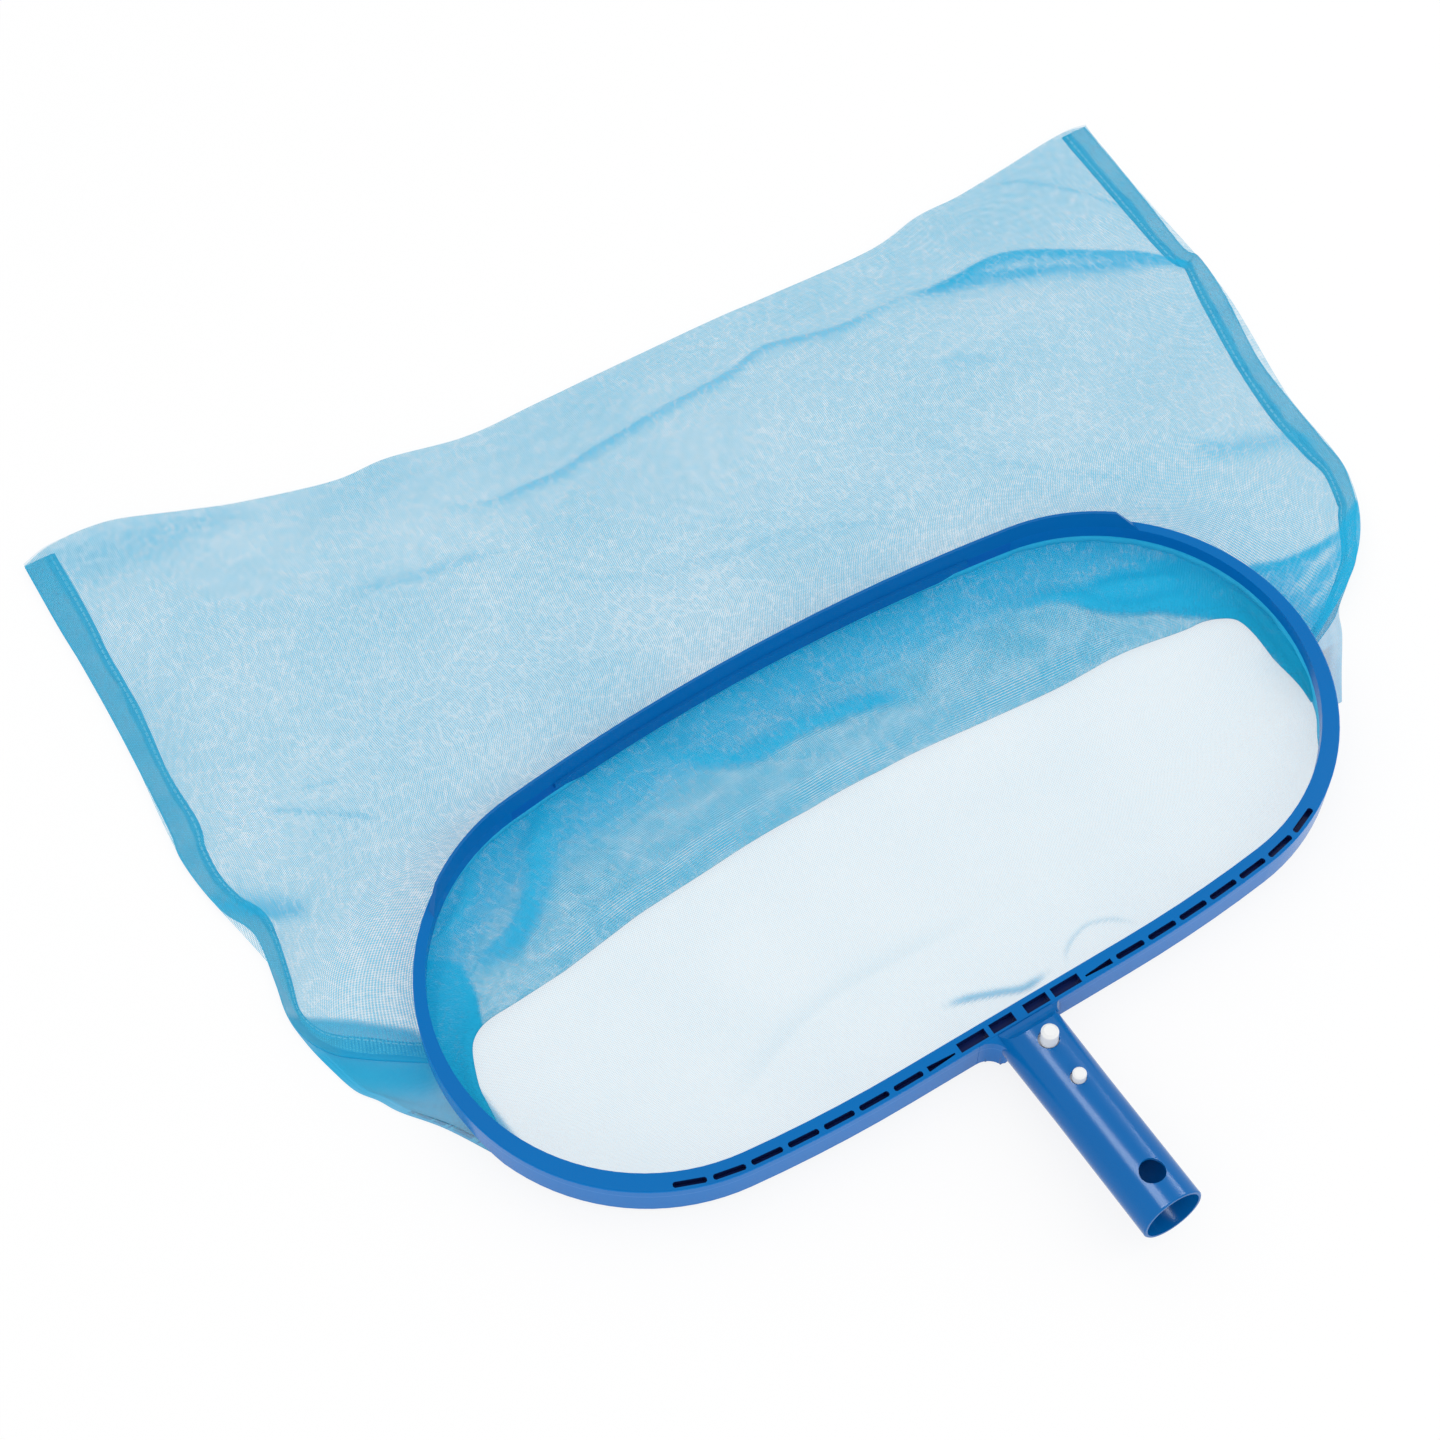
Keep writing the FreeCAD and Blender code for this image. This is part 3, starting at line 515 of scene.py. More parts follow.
def spaced(line: np.ndarray, count: int) -> np.ndarray:
    """Returns the line with this many points, spaced evenly along it."""
    along = np.concatenate([[0.0], np.cumsum(steps_along(line))])
    places = np.linspace(0.0, along[-1], count)
    return np.column_stack([np.interp(places, along, line[:, k]) for k in range(line.shape[1])])


def headings(line: np.ndarray) -> np.ndarray:
    """Returns the unit direction at each point of a line, alike at both ends of a closed one."""
    heading = np.gradient(line, axis=0)
    if np.allclose(line[0], line[-1]):
        heading[0] = heading[-1] = line[1] - line[-2]
    return heading / np.linalg.norm(heading, axis=1)[:, None]


def curve_through(points: Sequence[Sequence[float]], count: int) -> np.ndarray:
    """Draws a smooth line through points.

    Args:
        points: the points, of two or three coordinates.
        count: how many points the result has.

    Returns:
        The line's points, spaced evenly.
    """
    known = np.array(points, float)
    ends = np.vstack([2 * known[0] - known[1], known, 2 * known[-1] - known[-2]])
    pieces = [known[:1]]
    steps = np.linspace(0.0, 1.0, 25)[1:, None]
    for p0, p1, p2, p3 in zip(ends, ends[1:], ends[2:], ends[3:]):
        pieces.append(0.5 * (2 * p1 + (p2 - p0) * steps
                             + (2 * p0 - 5 * p1 + 4 * p2 - p3) * steps ** 2
                             + (3 * p1 - p0 - 3 * p2 + p3) * steps ** 3))
    return spaced(np.vstack(pieces), count)


def bag_curve(points: Sequence[Point], count: int) -> np.ndarray:
    """Returns a smooth line in frame metres through points measured from the hoop's middle."""
    return curve_through(bag_points(points), count)


@dataclass(frozen=True)
class HoopLine:
    """Outline of the hoop, or a line beside it, built of tangent arcs. Millimetres."""

    near_y: float
    near_corner: float
    far_corner: float
    bow: float
    outward: float = 0.0
    half_straight: float = 56.0
    bow_angle: float = 6.5
    near_angle: float = 83.5
    far_angle: float = 82.5

    def _right_half(self) -> np.ndarray:
        """Returns the right half, from the near middle to the far middle, in millimetres."""
        points = [(0.0, self.near_y - self.outward),
                  (self.half_straight, self.near_y - self.outward)]
        heading = 0.0
        place = np.array(points[-1])
        turns = ((self.bow, self.bow_angle), (self.near_corner, self.near_angle),
                 (self.far_corner, self.far_angle), (None, 0.0))
        for radius, degrees in turns:
            turn = math.radians(degrees) if radius else math.pi - heading
            reach = radius + self.outward if radius else place[0] / math.sin(turn)
            centre = place + reach * np.array([-math.sin(heading), math.cos(heading)])
            count = max(6, round(math.degrees(turn) / 1.5))
            for share in np.linspace(0.0, 1.0, count + 1)[1:]:
                angle = heading + turn * share
                points.append(tuple(centre + reach * np.array([math.sin(angle),
                                                               -math.cos(angle)])))
            heading += turn
            place = np.array(points[-1])
        return np.array(points)

    def ring(self, count: int) -> tuple[np.ndarray, np.ndarray, float]:
        """Draws the whole line, anticlockwise from the near middle.

        Args:
            count: how many steps it has.

        Returns:
            Its points in frame metres, the first again at the end, the outward direction at
            each, and the length.
        """
        right = self._right_half()
        left = right[1:-1][::-1] * np.array([-1.0, 1.0])
        line = spaced(np.array(bag_points(np.vstack([right, left, right[:1]]))), count + 1)
        heading = headings(line)
        outward = np.column_stack([heading[:, 1], -heading[:, 0]])
        return line, outward, float(steps_along(line).sum())

    def part(self, side: Side, left_y: float, right_y: float, count: int) -> np.ndarray:
        """Draws part of the line, from left to right.

        Args:
            side: which half of the hoop it runs round.
            left_y: where it starts on the left end, in millimetres from the hoop's middle.
            right_y: where it ends on the right end.
            count: how many points it has.

        Returns:
            The points, spaced evenly, in frame metres.
        """
        right = self._right_half()
        if side is Side.FAR:
            right = right[::-1]
        widest = int(np.argmax(right[:, 0]))

        def cut(limit: float) -> np.ndarray:
            """Returns the half up to a height on the hoop's end."""
            beyond = right[:, 1] < limit if side is Side.FAR else right[:, 1] > limit
            beyond[:4] = False
            return right[:int(np.argmax(beyond))] if beyond.any() else right[:widest + 1]

        rightwards, leftwards = cut(right_y), cut(left_y)
        line = np.vstack([leftwards[::-1] * np.array([-1.0, 1.0]), rightwards[1:]])
        return spaced(np.array(bag_points(line)), count)


OUTER = HoopLine(-NEAR_REACH, 97.5, 99.3, 650.0)
GROOVE = HoopLine(-45.4, 91.5, 92.8, 641.6, 2.05)


# The bag's edges, measured from the hoop's middle in millimetres

LEFT_EDGE = [(-249, 378), (-250, 341), (-250, 316), (-251, 284), (-253, 249), (-255, 221),
             (-257, 208), (-256, 190), (-253, 174), (-248, 163), (-247, 153), (-250, 134),
             (-253, 117), (-252, 102), (-249, 87), (-245, 73), (-239, 64), (-234, 55),
             (-222, 39), (-209, 16)]
RIGHT_EDGE = [(311, 334), (309, 280), (307, 247), (310, 238), (307, 214), (297, 173), (295, 143),
              (294, 120), (293, 103), (285, 84), (279, 77), (267, 61), (255, 52), (243, 43),
              (236, 32), (224, 17), (214, 4)]
LEFT_SEAM = LEFT_EDGE[:13] + [(-251, 103), (-245, 92), (-235, 83), (-224, 75), (-211, 66)]
LEFT_WIDTHS = (15, 15, 13, 13, 11, 13, 12, 10, 10, 10, 8, 7, 6, 7, 9, 10, 9, 9)
RIGHT_SEAM = RIGHT_EDGE[:13] + [(245, 45), (236, 39), (214, 30)]
RIGHT_WIDTHS = (14, 13, 11, 10, 13, 12, 14, 13, 11, 9, 8, 7, 6, 6, 6, 6)
FAR_EDGE = [(-249, 378), (-233, 382), (-205, 379), (-174, 366), (-149, 356), (-108, 344),
            (-81, 342), (-42, 333), (2, 332), (83, 330), (116, 328), (176, 325), (207, 330),
            (233, 330), (266, 333), (298, 336), (311, 334)]
TUCK_EDGE = [(-203, 26), (-202, 38), (-201, 47), (-196, 61), (-191, 67), (-183, 70), (-168, 71),
             (-138, 74), (-105, 79), (-75, 81), (-43, 83), (16, 83), (51, 81), (108, 76),
             (145, 75), (175, 70), (185, 69), (193, 66), (199, 61), (201, 51), (201, 35),
             (202, 20), (201, 10)]


# Mesh helpers

def start_piece(name: str) -> None:
    """Deselects everything, so that the next primitive is shaped alone, and logs its name."""
    bpy.ops.object.select_all(action="DESELECT")
    LOG.info("building %s", name)


def settle(piece: Piece, name: str) -> Piece:
    """Names a piece, brings its place into its mesh and returns it, at the origin."""
    piece.name = piece.data.name = name
    piece.data.transform(piece.matrix_basis)
    piece.matrix_basis = Matrix.Identity(4)
    return piece


def in_order(piece: Piece) -> None:
    """Sorts a piece's points and faces by place, because a boolean's order differs by run."""
    mesh = piece.data
    places = [tuple(round(c, 7) for c in vertex.co) for vertex in mesh.vertices]
    order = sorted(range(len(places)), key=places.__getitem__)
    rank = {old: new for new, old in enumerate(order)}
    faces = []
    for polygon in mesh.polygons:
        ring = [rank[index] for index in polygon.vertices]
        first = ring.index(min(ring))
        faces.append(ring[first:] + ring[:first])
    points = [mesh.vertices[index].co[:] for index in order]
    mesh.clear_geometry()
    mesh.from_pydata(points, [], sorted(faces))
    mesh.update()


def dress(piece: Piece, material: Finish,
          body: str = BODY, stands_for: Sequence[str] = ()) -> Piece:
    """Gives a piece its material, slot, body and the nodes that it replaces.

    Args:
        piece: the finished object.
        material: its finish.
        body: the body that it rides on.
        stands_for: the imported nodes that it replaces.

    Returns:
        The same object.
    """
    piece.data.materials.clear()
    piece.data.materials.append(material)
    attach(piece, body)
    if stands_for:
        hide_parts(*stands_for)
    return piece


def grid_sheet(name: str, rows: np.ndarray, width: float, length: float,
               gather: np.ndarray | None = None,
               marks: Sequence[float] | None = None) -> Piece:
    """Makes a sheet of cloth from a grid of places.

    Args:
        name: the piece's name.
        rows: places as an array of lengthwise rows, each of points across, of x, y and z.
        width: how wide the cloth was cut, in metres.
        length: how long it was cut.
        gather: how many times denser the mesh lies at each point.
        marks: the cloth's own measure at each lengthwise row, where it isn't even.

    Returns:
        The sheet, with its threads laid out in the UV map named cloth.
    """
    start_piece(name)
    count_v, count_u = rows.shape[:2]
    bpy.ops.mesh.primitive_grid_add(x_subdivisions=count_u - 1, y_subdivisions=count_v - 1,
                                    size=1.0)
    piece = bpy.context.object
    mesh = piece.data
    mesh.vertices.foreach_set("co", rows.ravel())
    layer = mesh.uv_layers.active or mesh.uv_layers.new()
    layer.name = "cloth"
    corner = np.zeros(len(mesh.loops), int)
    mesh.loops.foreach_get("vertex_index", corner)
    measure = np.linspace(0.0, length, count_v) if marks is None else np.array(marks)
    uv = np.column_stack([corner % count_u / (count_u - 1) * width, measure[corner // count_u]])
    layer.data.foreach_set("uv", uv.ravel())
    dense = np.ones((count_v, count_u)) if gather is None else gather
    mark = mesh.attributes.new("gather", "FLOAT", "POINT")
    mark.data.foreach_set("value", dense.ravel().astype(np.float32))
    mesh.update()
    bpy.ops.object.shade_smooth()
    return settle(piece, name)


def closed_band(name: str, rows: Sequence[np.ndarray], length: float, marks: Sequence[float],
                gather: np.ndarray | None = None) -> Piece:
    """Makes a closed band of cloth.

    Args:
        name: the piece's name.
        rows: the lengthwise lines round its section, the first one again at the end.
        length: how long it is, in metres.
        marks: the cloth's own measure at each line.
        gather: how many times denser the mesh lies at each point.

    Returns:
        The band, with its doubles merged, its ends filled and its faces outwards.
    """
    piece = grid_sheet(name, np.array(rows), length, 0.0, gather, marks)
    shape = bmesh.new()
    shape.from_mesh(piece.data)
    bmesh.ops.remove_doubles(shape, verts=shape.verts, dist=1e-6)
    bmesh.ops.holes_fill(shape, edges=[e for e in shape.edges if e.is_boundary], sides=0)
    bmesh.ops.recalc_face_normals(shape, faces=shape.faces)
    shape.to_mesh(piece.data)
    shape.free()
    piece.data.update()
    return piece


def fill_between(near: np.ndarray, far: np.ndarray, left: np.ndarray,
                 right: np.ndarray) -> np.ndarray:
    """Fills the space between four lines that meet at their ends, as a Coons patch.

    Args:
        near: the first row, from left to right.
        far: the last row, from left to right.
        left: the left side, from near to far.
        right: the right side, from near to far.

    Returns:
        Rows of points.
    """
    count_u, count_v = len(near), len(left)
    s = np.linspace(0, 1, count_u)[None, :, None]
    t = np.linspace(0, 1, count_v)[:, None, None]
    along = (1 - t) * near[None] + t * far[None]
    across = (1 - s) * left[:, None] + s * right[:, None]
    corners = ((1 - s) * (1 - t) * near[0] + s * (1 - t) * near[-1]
               + (1 - s) * t * far[0] + s * t * far[-1])
    return along + across - corners


def nearest_on(line: np.ndarray, flat: np.ndarray) -> tuple[np.ndarray, np.ndarray, np.ndarray]:
    """Finds the nearest place on a line for each point.

    Args:
        line: the line's points.
        flat: the points, of x and y.

    Returns:
        The distance of each, its side of the line, 1 or -1, and the share of the line there.
    """
    away = np.full(len(flat), np.inf)
    side, place = np.ones(len(flat)), np.zeros(len(flat))
    for index, (a, b) in enumerate(zip(line, line[1:])):
        run, gap = b - a, flat - a
        share = np.clip(gap @ run / (run @ run), 0, 1)
        reach = np.linalg.norm(gap - share[:, None] * run, axis=1)
        nearer = reach < away
        away[nearer] = reach[nearer]
        side[nearer] = np.sign(run[0] * gap[nearer, 1] - run[1] * gap[nearer, 0])
        place[nearer] = (index + share[nearer]) / (len(line) - 1)
    return away, side, place


@dataclass(frozen=True)
class Fold:
    """A crease in the cloth: a ridge along a line, in millimetres from the hoop's middle."""

    line: tuple[Point, ...]
    height: float
    width: float
    lean: float = 0.0
    layers: float = 0.0
    reach: float = 0.5
    sharp: float = 0.35
    runs_on: bool = False

    def _around(self, places: np.ndarray) -> tuple[np.ndarray, np.ndarray]:
        """Returns the distance from the crease, signed by side, and its fade at the ends."""
        line = bag_curve(self.line, 40)
        away, side, place = nearest_on(line, places[..., :2].reshape(-1, 2))
        ends = np.clip(place, 0.5 if self.runs_on else 0.02, 0.98)
        fade = np.clip(np.sin(np.pi * ends) * 1.8, 0, 1)
        shape = places.shape[:-1]
        return (away * side).reshape(shape), fade.reshape(shape)

    def lift(self, places: np.ndarray) -> np.ndarray:
        """Returns how far the fold lifts each place, in metres.

        Args:
            places: an array of places, x and y first, in metres.

        Returns:
            The lift of each.
        """
        distance, fade = self._around(places)
        width = self.width * MM * (1 + self.lean * np.sign(distance))
        return self.height * MM * fade * np.exp(-(distance / width) ** 2)

    def crowd(self, places: np.ndarray) -> np.ndarray:
        """Returns how many more layers of cloth the fold gathers at each place.

        Args:
            places: an array of places, x and y first, in metres.

        Returns:
            The added layers, sharp on one side of the crease and soft on the other.
        """
        distance, fade = self._around(places)
        width = self.width * self.reach * MM * np.where(distance > 0, 1.0, self.sharp)
        return self.layers * fade * np.exp(-(distance / width) ** 2)


@dataclass(frozen=True)
class Doubled:
    """An area where the cloth lies doubled, with its outline in millimetres from the middle."""

    outline: tuple[Point, ...]
    layers: float
    soft: float = 2.0
    edge_layers: float = 0.0

    def crowd(self, places: np.ndarray) -> np.ndarray:
        """Returns how many more layers of cloth lie at each place.

        Args:
            places: an array of places, x and y first, in metres.

        Returns:
            The added layers.
        """
        flat = places[..., :2].reshape(-1, 2)
        outline = np.array(bag_points((*self.outline, self.outline[0])))
        away = nearest_on(outline, flat)[0]
        inside = np.zeros(len(flat), bool)
        for a, b in zip(outline, outline[1:]):
            run = b - a
            crosses = (a[1] > flat[:, 1]) != (b[1] > flat[:, 1])
            height = run[1] if abs(run[1]) > 1e-9 else 1e-9
            inside ^= crosses & (flat[:, 0] < a[0] + (flat[:, 1] - a[1]) * run[0] / height)
        depth = np.where(inside, away, -away) / (self.soft * MM)
        cover = np.clip(depth + 0.5, 0, 1)
        edge = np.exp(-((depth - 0.5) / 0.8) ** 2)
        return (cover * self.layers + edge * self.edge_layers).reshape(places.shape[:-1])


def ripples(places: np.ndarray, wavelength: float, height: float, seed: float) -> np.ndarray:
    """Returns smooth random heights.

    Args:
        places: an array of places, in metres.
        wavelength: distance between ripples, in millimetres.
        height: how high they are, in millimetres.
        seed: picks the pattern.

    Returns:
        A height for each place, in metres.
    """
    scaled = places[..., :2].reshape(-1, 2) / (wavelength * MM)
    values = [noise.noise(Vector((x + seed, y, seed))) for x, y in scaled]
    return (np.array(values) * height * MM).reshape(places.shape[:-1])


def density(rows: np.ndarray) -> np.ndarray:
    """Returns how much denser the cloth looks from above where it slopes."""
    across = np.gradient(rows, axis=1)
    along = np.gradient(rows, axis=0)
    normal = np.cross(across, along)
    length = np.linalg.norm(normal, axis=2)
    flatness = np.abs(normal[..., 2]) / np.maximum(length, 1e-12)
    return np.clip(1.0 / np.maximum(flatness, 0.3), 1.0, 3.0)


# The bag

@dataclass
class NetBag:
    """The sewn bag, laid flat: a lower sheet on the floor and an upper one with a tuck."""

    cut_width: float = 0.555
    cut_length: float = 0.39
    across: int = 320
    along: int = 296
    rest_height: float = 0.5
    fold_height: float = 3.5
    seam_fall: float = 34.0
    seam_height: float = 2.4
    lowest: float = 1.3
    tuck_share: float = 0.24
    rim_share: float = 0.34
    start_height: float = 4.2
    inside_heights: tuple[Point, ...] = ((1.0, 6.3), (0.6, 4.4), (0.2, 3.4), (0.0, 2.4),
                                         (0.25, 1.9), (0.6, 2.6))
    outside_heights: tuple[Point, ...] = ((0.12, 9.5), (0.28, 12.5), (0.46, 12.5), (0.66, 11.0),
                                          (0.84, 8.5), (0.95, 6.0), (1.0, 3.5))
    near_hem: float = 0.09
    hem_layers: float = 3.4

    def lower(self, material: Finish) -> Piece:
        """Builds the lower sheet, from the near rim across the mouth to the far fold.

        Args:
            material: the mesh's finish.

        Returns:
            The sheet.
        """
        near = GROOVE.part(Side.NEAR, 17.0, 6.0, self.across)
        far = bag_curve(FAR_EDGE, self.across)
        left = bag_curve(LEFT_EDGE[::-1], self.along)
        right = bag_curve(RIGHT_EDGE[::-1], self.along)
        near[0], near[-1] = left[0], right[0]
        flat = fill_between(near, far, left, right)
        share = np.linspace(0, 1, self.along)[:, None]
        rise = ramp(share, 0.94, 0.06) ** 2 * (self.fold_height - self.rest_height)
        height = above_floor(self.rest_height) + np.abs(ripples(flat, 55.0, 1.6, 3.1)) + rise * MM
        rows = np.concatenate([flat, height[..., None]], axis=2)
        dense = density(rows)
        for fold in MOUTH_FOLDS:
            rows[..., 2] += fold.lift(rows)
            dense += fold.crowd(rows)
        for area in LOWER_DOUBLED:
            dense += area.crowd(rows)
        piece = grid_sheet("net_lower", rows, self.cut_width, self.cut_length, dense)
        return dress(piece, material, stands_for=["net_lower_panel"])

    def upper(self, material: Finish) -> Piece:
        """Builds the upper sheet: down from the far rim to a tuck, back and out to the far fold.

        Args:
            material: the mesh's finish.

        Returns:
            The sheet.
        """
        count = self.across
        hem = GROOVE.part(Side.FAR, 22.0, 11.0, count)
        tuck = bag_curve(TUCK_EDGE, count)
        under = OUTER.part(Side.FAR, 66.0, 30.0, count)
        far = bag_curve(FAR_EDGE, count)
        left = bag_curve(LEFT_SEAM[::-1], 60)
        right = bag_curve(RIGHT_SEAM[::-1], 60)
        start = curve_through([left[0]] + list(under[20:-20:20]) + [right[0]], count)
        outside = fill_between(start, far, left, right)

        def level(line: np.ndarray, height: float) -> np.ndarray:
            """Returns the line at a height above the floor."""
            return np.column_stack([line, np.full(len(line), above_floor(height))])

        stations = [level(share * hem + (1 - share) * tuck, height)
                    for share, height in self.inside_heights]
        stations.append(level(start, self.start_height))
        stations += [level(outside[round(share * 59)], height)
                     for share, height in self.outside_heights]
        stack = np.array(stations)
        lengths = np.linalg.norm(np.diff(stack, axis=0), axis=2).mean(1)
        places = np.concatenate([[0.0], np.cumsum(lengths)])
        rows = self._loft(stack, places / places[-1])
        lift, crowd = self._wrinkles(rows)
        rows[..., 2] += lift
        rows[..., 2] = self._lowered(rows)
        piece = grid_sheet("net_upper", rows, self.cut_width, self.cut_length,
                           density(rows) + crowd)
        return dress(piece, material, stands_for=["net_upper_panel"])

    def _loft(self, stack: np.ndarray, places: np.ndarray) -> np.ndarray:
        """Draws smooth lines lengthwise through the stations.

        Args:
            stack: the stations, each a row of points.
            places: how far along each one lies, from 0 to 1.

        Returns:
            Rows of points.
        """
        wanted = np.linspace(0, 1, self.along)
        slopes = np.gradient(stack, places, axis=0)
        index = np.clip(np.searchsorted(places, wanted, side="right") - 1, 0, len(places) - 2)
        gap = (places[index + 1] - places[index])[:, None, None]
        share = ((wanted - places[index]) / gap[:, 0, 0])[:, None, None]
        a, b = stack[index], stack[index + 1]
        da, db = slopes[index] * gap, slopes[index + 1] * gap
        return ((2 * share ** 3 - 3 * share ** 2 + 1) * a + (share ** 3 - 2 * share ** 2 + share) * da
                + (3 * share ** 2 - 2 * share ** 3) * b + (share ** 3 - share ** 2) * db)

    def _lowered(self, rows: np.ndarray) -> np.ndarray:
        """Returns the sheet's heights, brought down to the seams at its two sides."""
        step = np.linalg.norm(np.diff(rows[..., :2], axis=1), axis=2)
        along = np.concatenate([np.zeros((len(rows), 1)), np.cumsum(step, axis=1)], axis=1)
        inward = np.minimum(along, along[:, -1:] - along)
        share = ramp(inward, 0.0, self.seam_fall * MM)
        share = share * share * (3 - 2 * share)
        outside = ramp(np.linspace(0, 1, len(rows))[:, None], 0.4, 0.1)
        low = above_floor(self.seam_height)
        fallen = np.minimum(rows[..., 2], low + (rows[..., 2] - low) * share)
        height = rows[..., 2] * (1 - outside) + fallen * outside
        return np.maximum(height, above_floor(self.lowest))

    def _wrinkles(self, rows: np.ndarray) -> tuple[np.ndarray, np.ndarray]:
        """Shapes the folds and ripples, kept away from the sheet's edges and the rim.

        Args:
            rows: the sheet's points.

        Returns:
            The lift of each point and the layers that are gathered there.
        """
        count_v, count_u = rows.shape[:2]
        t = np.linspace(0, 1, count_v)[:, None]
        s = np.linspace(0, 1, count_u)[None]
        outside = ramp(t, 0.58, 0.08) * ramp(1 - t, 0.0, 0.06)
        sides = ramp(s, 0.0, 0.05) * ramp(1 - s, 0.0, 0.05)
        inside = ramp(0.2 - t, 0.0, 0.05) * ramp(t, 0.0, 0.03)
        past_rim = ramp(t, self.rim_share, 0.02)
        before_tuck = ramp(self.tuck_share - t, 0.0, 0.05)
        lift = ripples(rows, 70.0, 3.2, 1.7) + ripples(rows, 28.0, 1.3, 7.3)
        drape = np.abs(ripples(rows, 45.0, 3.0, 5.5))
        crowd = ramp(1.0 - t / self.near_hem, 0.0, 1.0) ** 1.2 * self.hem_layers
        crowd = crowd + 0.22 * (1 - past_rim) + np.zeros(rows.shape[:2])
        for fold in BAG_FOLDS:
            lift += fold.lift(rows)
            crowd += fold.crowd(rows) * past_rim
        for fold in TUCK_FOLDS:
            drape += fold.lift(rows)
            crowd += fold.crowd(rows) * before_tuck
        for area in OUTSIDE_DOUBLED:
            crowd += area.crowd(rows) * past_rim
        for area in TUCK_DOUBLED:
            crowd += area.crowd(rows) * before_tuck
        return lift * outside * sides + drape * inside, crowd


BAG_FOLDS = (
    Fold(((300, 238), (285, 246), (253, 268), (223, 284), (196, 284), (172, 289)),
         2.5, 6.0, 0.3, 2.4, 0.7, 0.4, True),
    Fold(((190, 285), (172, 289), (147, 288), (129, 290), (100, 298), (74, 293), (39, 292),
          (4, 291), (-19, 289), (-35, 289), (-55, 291), (-82, 304)), 2.5, 5.0, 0.3, 1.3, 0.8, 0.5),
    Fold(((290, 237), (265, 250), (247, 259), (211, 277), (180, 281)), 2.0, 9.0, 0.3, 1.1, 0.8),
    Fold(((-138, 278), (-113, 274), (-99, 270), (-78, 266), (-60, 263)),
         2.5, 9.0, -0.4, 0.7, 0.7),
    Fold(((-219, 204), (-194, 186), (-173, 170)), 1.5, 4.0, 0.3, 0.9),
    Fold(((-200, 204), (-182, 198)), 1.0, 3.0, 0.0, 0.8),
    Fold(((-254, 178), (-247, 171), (-236, 160), (-222, 148)), 2.0, 9.0, 0.0, 1.6, 0.7, 0.6, True),
    Fold(((242, 328), (261, 318), (289, 286), (304, 275)), 1.5, 4.0, 0.0, 0.7, 0.6),
    Fold(((284, 123), (267, 128), (251, 134), (232, 146)), 2.0, 10.0, 0.0, 1.0, 0.7, 0.7, True),
    Fold(((120, 170), (60, 200), (-20, 220), (-80, 260)), 2.0, 9.0, 0.3, 0.3),
    Fold(((220, 130), (160, 180), (120, 230)), 2.4, 8.0, -0.3, 0.3),
    Fold(((224, 56), (241, 62), (256, 68), (272, 76)), 2.0, 3.2, 0.0, -1.9, 1.0, 1.0),
    Fold(((218, 45), (242, 52), (256, 58), (268, 66)), 1.5, 2.0, 0.0, -1.5, 1.0, 1.0),
)
OUTSIDE_DOUBLED = (
    Doubled(((206, 82), (222, 79), (230, 75), (242, 72), (252, 71), (264, 73), (276, 79),
             (286, 84), (279, 75), (267, 59), (250, 47), (236, 36), (226, 32), (206, 30)),
            2.5, 3.0, 1.8),
    Doubled(((-252, 385), (-217, 376), (-189, 371), (-158, 358), (-150, 345), (-198, 346),
             (-228, 350), (-252, 362)), 0.55, 12.0),
    Doubled(((163, 246), (173, 248), (184, 240), (187, 232), (177, 233), (166, 238)), 0.5, 6.0),
    Doubled(((292, 240), (270, 256), (250, 270), (225, 284), (190, 287), (176, 285), (205, 274),
             (240, 261), (262, 250), (285, 237)), 1.0, 5.0),
    Doubled(((-240, 392), (-150, 365), (0, 338), (120, 334), (240, 336), (304, 345), (296, 262),
             (262, 272), (225, 290), (172, 294), (100, 301), (0, 296), (-82, 310),
             (-150, 335), (-232, 360)), 0.24, 22.0),
)
TUCK_DOUBLED = (
    Doubled(((-190, 106), (-182, 97), (-183, 82), (-188, 69), (-195, 60), (-201, 46), (-204, 30),
             (-216, 20), (-222, 60), (-216, 96), (-203, 106)), 3.8, 2.5, 2.0),
    Doubled(((140, 112), (165, 110), (180, 106), (200, 98), (216, 84), (222, 60), (222, 0),
             (203, -4), (203, 30), (202, 50), (198, 62), (191, 70), (182, 77), (172, 86),
             (160, 94), (148, 102)), 5.2, 7.0),
)
TUCK_FOLDS = (
    Fold(((-60, 148), (-51, 134), (-36, 122), (-22, 116), (-3, 117), (23, 114), (60, 106)),
         3.0, 7.0, 0.4, 2.4, 0.9, 0.4),
    Fold(((-110, 150), (-118, 142), (-128, 129), (-133, 119), (-142, 108), (-151, 101),
          (-160, 97), (-178, 94)), 3.0, 7.0, 0.0, 2.7, 1.0, 0.4),
    Fold(((-156, 136), (-164, 125), (-174, 118), (-186, 112)), 2.0, 3.0, 0.0, 2.2, 1.0),
    Fold(((150, 108), (165, 104), (174, 100), (192, 92)), 2.0, 4.0, 0.0, 1.4, 1.0),
    Fold(((118, 120), (135, 114), (145, 107), (151, 99), (158, 93), (168, 88), (178, 86),
          (194, 80)), 2.0, 5.0, 0.0, 2.6, 0.9, 0.5),
)
